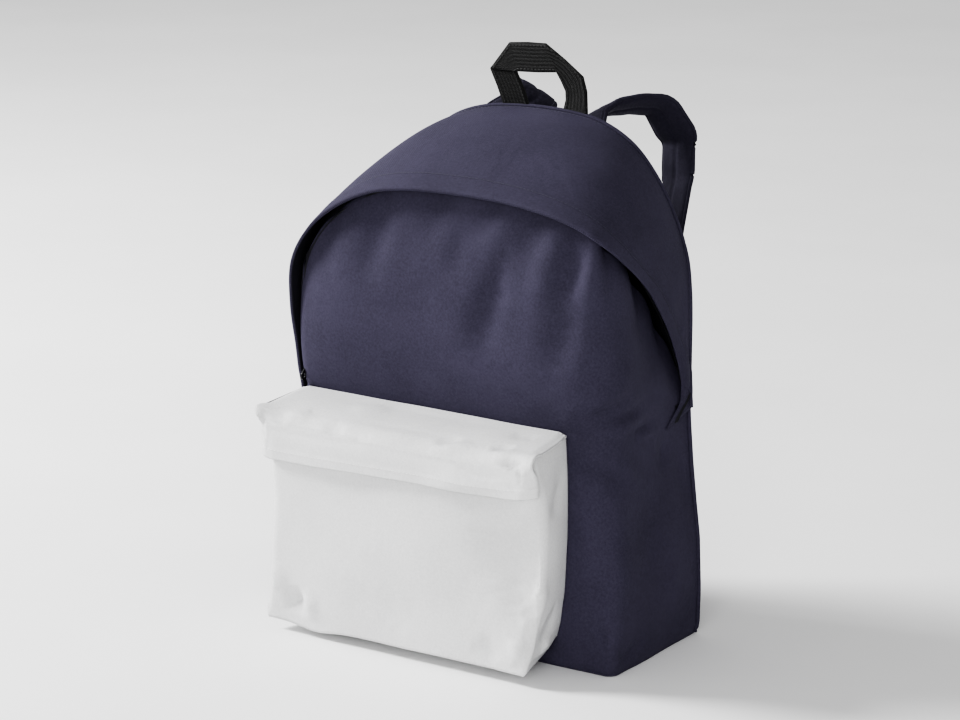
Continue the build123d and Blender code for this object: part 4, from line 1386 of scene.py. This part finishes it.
def pocket_top_grid():
    """The pocket's top and flap, from the back seam over the front edge to the hem."""
    line = evenly([(0, y, z) for y, z in TOP_PROFILE], TOP_ROWS)
    run = lengths(line)
    share = np.linspace(0, 1, TOP_COLS)
    edge_run = lengths(np.array(TOP_PROFILE))
    at = np.interp(run, [0, run[-1]], [0, edge_run[-1]])
    left = np.interp(at, edge_run, TOP_LEFT)
    right = np.interp(at, edge_run, TOP_RIGHT)
    x = left[:, None] * (1 - share) + right[:, None] * share
    soft = evenly([(0, y, z) for y, z in SOFT_PROFILE], TOP_ROWS)
    roll = (smooth_step(share, 0.0, 0.10) * smooth_step(share, 1.0, 0.90))[None]
    y = line[:, 1][:, None] * (1 - roll) + soft[:, 1][:, None] * roll
    z = line[:, 2][:, None] * (1 - roll) + soft[:, 2][:, None] * roll
    hang = smooth_step(z, 186, 150)
    z = z + hang * read_table(share, HEM_DROP)[None]
    turn_right = np.clip((x - 106) / 16, 0, 1) ** 2
    turn_left = np.clip((-x - 128) / 13, 0, 1) ** 2
    on_flap = smooth_step(z, 184, 170)
    y = y + on_flap * (11 * turn_right + 5 * turn_left)
    ear = smooth_step(share, 0.05, 0.0)[None] * bell(y, -121.5, 4.5)
    y = y - 1.5 * ear
    z = z + 1.2 * ear
    top = smooth_step(y, -118, -108)
    sag = 1.6 * bell(share, 0.5, 0.3)[None] * top * smooth_step(y, -66, -80)
    z = z - sag
    edge_fall = top * (2.0 * smooth_step(share, 0.97, 1.0) + 2.0 * smooth_step(share, 0.03, 0.0))[None]
    z = z - edge_fall
    return np.stack([x, y, z], axis=-1)


TOP_FOLDS = (
    ([(114, -121, 183), (100, -125, 181), (84, -125, 176)], 5.0, -2.2),
    ([(116, -116, 188), (98, -122, 187), (74, -124, 183)], 6, 1.6),
    ([(112, -124, 176), (104, -125, 170), (92, -125, 163)], 9, -1.6),
    ([(104, -110, 190), (82, -119, 188), (62, -124, 182)], 7, 1.6),
    ([(92, -106, 190), (72, -116, 189)], 4, -1.6),
    ([(60, -112, 189), (36, -122, 186), (18, -125, 176)], 6, 1.6),
    ([(44, -108, 190), (20, -120, 187)], 5, -1.5),
    ([(10, -118, 188), (-24, -124, 182), (-50, -125, 170)], 8, 1.3),
    ([(-60, -121, 186), (-84, -125, 178)], 7, -1.3),
    ([(-96, -112, 189), (-112, -120, 186), (-122, -125, 176)], 6, 1.4),
    ([(-147, -122, 184), (-140, -125, 176), (-134, -125, 168)], 5, -1.4),
    ([(98, -125, 166), (60, -125, 160), (10, -125, 154)], 8, 1.8),
    ([(104, -125, 174), (80, -125, 170), (44, -125, 168)], 7, -1.8),
    ([(100, -80, 192), (70, -92, 191)], 8, -1.0),
    ([(-40, -80, 192), (-80, -96, 190)], 10, 1.0),
)


FLAP_Y = -126.3
FLAP_CLOTH = 1.5


def make_pocket_top():
    """One cloth for the pocket's top and its flap, which bends at the front edge."""
    grid = pocket_top_grid()[::-1]
    grid = add_folds(grid, TOP_FOLDS, 0.45, 1.35)
    grid = ripple(grid, 17, 60, 0.8)
    hem_band = smooth_step(np.arange(len(grid)), 9, 7)[:, None]
    grid = push(grid, 0.5 * hem_band)
    # Room behind the flap for the zip's pull
    over_zip = (grid[..., 2] < 177) & (grid[..., 0] > -138) & (grid[..., 0] < 106)
    grid[..., 1] = np.where(over_zip, np.minimum(grid[..., 1], FLAP_Y), grid[..., 1])
    piece = shell("pocket_top_and_flap", grid, FLAP_CLOTH, light, light)
    hinge = limits("pocket_flap")[1]
    start = (0, (hinge[1] + 4.5) * MM, (hinge[2] + 1.5) * MM)
    end = (0, hinge[1] * MM, (hinge[2] - 7) * MM)
    bend(piece, "pocket_flap", "light_fabric", start, end, "pocket_top", "pocket_flap")
    out = normals(grid)
    raised = grid + out * 0.1
    hem, back = 7, len(grid) - 3
    size = (2.5, 0.7, 0.5)
    seam = beads("flap_hem_stitches", raised[hem], out[hem], size, STITCH_PITCH, light_thread)
    bend(seam, "pocket_flap", "light_fabric", start, end)
    stitches("pocket_back_stitches", raised[back], out[back], light_thread, "bag", "light_fabric")


make_pocket_top()


def make_pocket_zip():
    """Two tapes with their teeth, behind the flap."""
    for part, node in (("low", "pocket_zip_tape_low"), ("high", "pocket_zip_tape_high")):
        low, high = limits(node)
        x = np.linspace(low[0], high[0], 90)
        bottom = line_at(x, low[1], low[2] - (2 if part == "low" else 0))
        top = line_at(x, low[1], high[2] + (2 if part == "high" else 0))
        tape = ribbon(f"pocket_tape_{part}", top, bottom, -1.0, light_tape)
        settle(tape, "bag", "light_zip_tape", node)
        edge = high[2] + 0.4 if part == "low" else low[2] - 0.4
        line = line_at(x, low[1] - 0.2, edge)
        teeth = beads(f"pocket_teeth_{part}", line, FORWARD, (1.3, 2.0, 1.3), TOOTH_PITCH, light_teeth)
        settle(teeth, "bag", "light_zip_tape")


make_pocket_zip()


coat(board, "base_stiffener")
coat(black_enamel, "main_zip_stop", "main_zip_slider", "main_zip_pull")
coat(light_enamel, "pocket_zip_stops", "pocket_zip_slider", "pocket_zip_pull")


# ------------------------------------------------------------------ stage, light and camera
# Lengths of the stage are in metres
LIGHT_TARGET = (0, 0, 0.2)
FLOOR_HALF = 8.0
FLOOR_Z = -0.0003
EXPOSURE = 0.45
WORLD_STRENGTH = 0.38


def area_light(name, place, size, power):
    """A round soft light that points at the bag."""
    data = bpy.data.lights.new(name, "AREA")
    data.shape = "DISK"
    data.size = size
    data.energy = power
    lamp = bpy.data.objects.new(name, data)
    lamp.location = place
    lamp.rotation_euler = (Vector(LIGHT_TARGET) - Vector(place)).to_track_quat("-Z", "Y").to_euler()
    bpy.context.scene.collection.objects.link(lamp)


def make_stage():
    """Pale floor, even studio light, a key light from the left and a weak fill."""
    n = Nodes("pale_floor", 0.9, specular=0.1)
    colour = n.ramp(n.noise(3.0), [(0.3, (0.86, 0.86, 0.86)), (0.7, (0.90, 0.90, 0.90))])
    corners = [(-1, -1), (1, -1), (1, 1), (-1, 1)]
    verts = [(x * FLOOR_HALF / MM, y * FLOOR_HALF / MM, FLOOR_Z / MM) for x, y in corners]
    floor = new_piece("floor", verts, [(0, 1, 2, 3)], [n.finish(colour)])
    view = bpy.context.scene.view_settings
    view.view_transform = "AgX"
    view.look = "AgX - High Contrast"
    view.exposure = EXPOSURE
    world = bpy.data.worlds.new("studio")
    bpy.context.scene.world = world
    world.use_nodes = True
    background = world.node_tree.nodes["Background"]
    background.inputs["Color"].default_value = (1, 1, 1, 1)
    background.inputs["Strength"].default_value = WORLD_STRENGTH
    area_light("key", (-2.6, -0.85, 1.95), 0.9, 112)
    area_light("fill", (1.3, -2.7, 0.9), 1.6, 30)


make_stage()

# The camera stands to the front right, a little above the bag
CAMERA_AZIMUTH = 33.4
CAMERA_ELEVATION = 15.1
CAMERA_DISTANCE = 2.577
CAMERA_ROLL = 0.24
CAMERA_TARGET = Vector((0, 0, 0.210))
CAMERA_LENS = 119
CAMERA_SHIFT = (-0.0141, 0.0146)


def make_camera():
    """A long lens, tilted a little about its own axis."""
    a, e = math.radians(CAMERA_AZIMUTH), math.radians(CAMERA_ELEVATION)
    back = Vector((math.sin(a) * math.cos(e), -math.cos(a) * math.cos(e), math.sin(e)))
    data = bpy.data.cameras.new("camera")
    data.sensor_width = 36
    data.lens = CAMERA_LENS
    data.shift_x, data.shift_y = CAMERA_SHIFT
    data.clip_end = 100
    camera = bpy.data.objects.new("camera", data)
    camera.location = CAMERA_TARGET + back * CAMERA_DISTANCE
    facing = (-back).to_track_quat("-Z", "Y")
    camera.rotation_mode = "QUATERNION"
    camera.rotation_quaternion = facing @ Quaternion((0, 0, 1), math.radians(CAMERA_ROLL))
    bpy.context.scene.collection.objects.link(camera)
    bpy.context.scene.camera = camera


make_camera()
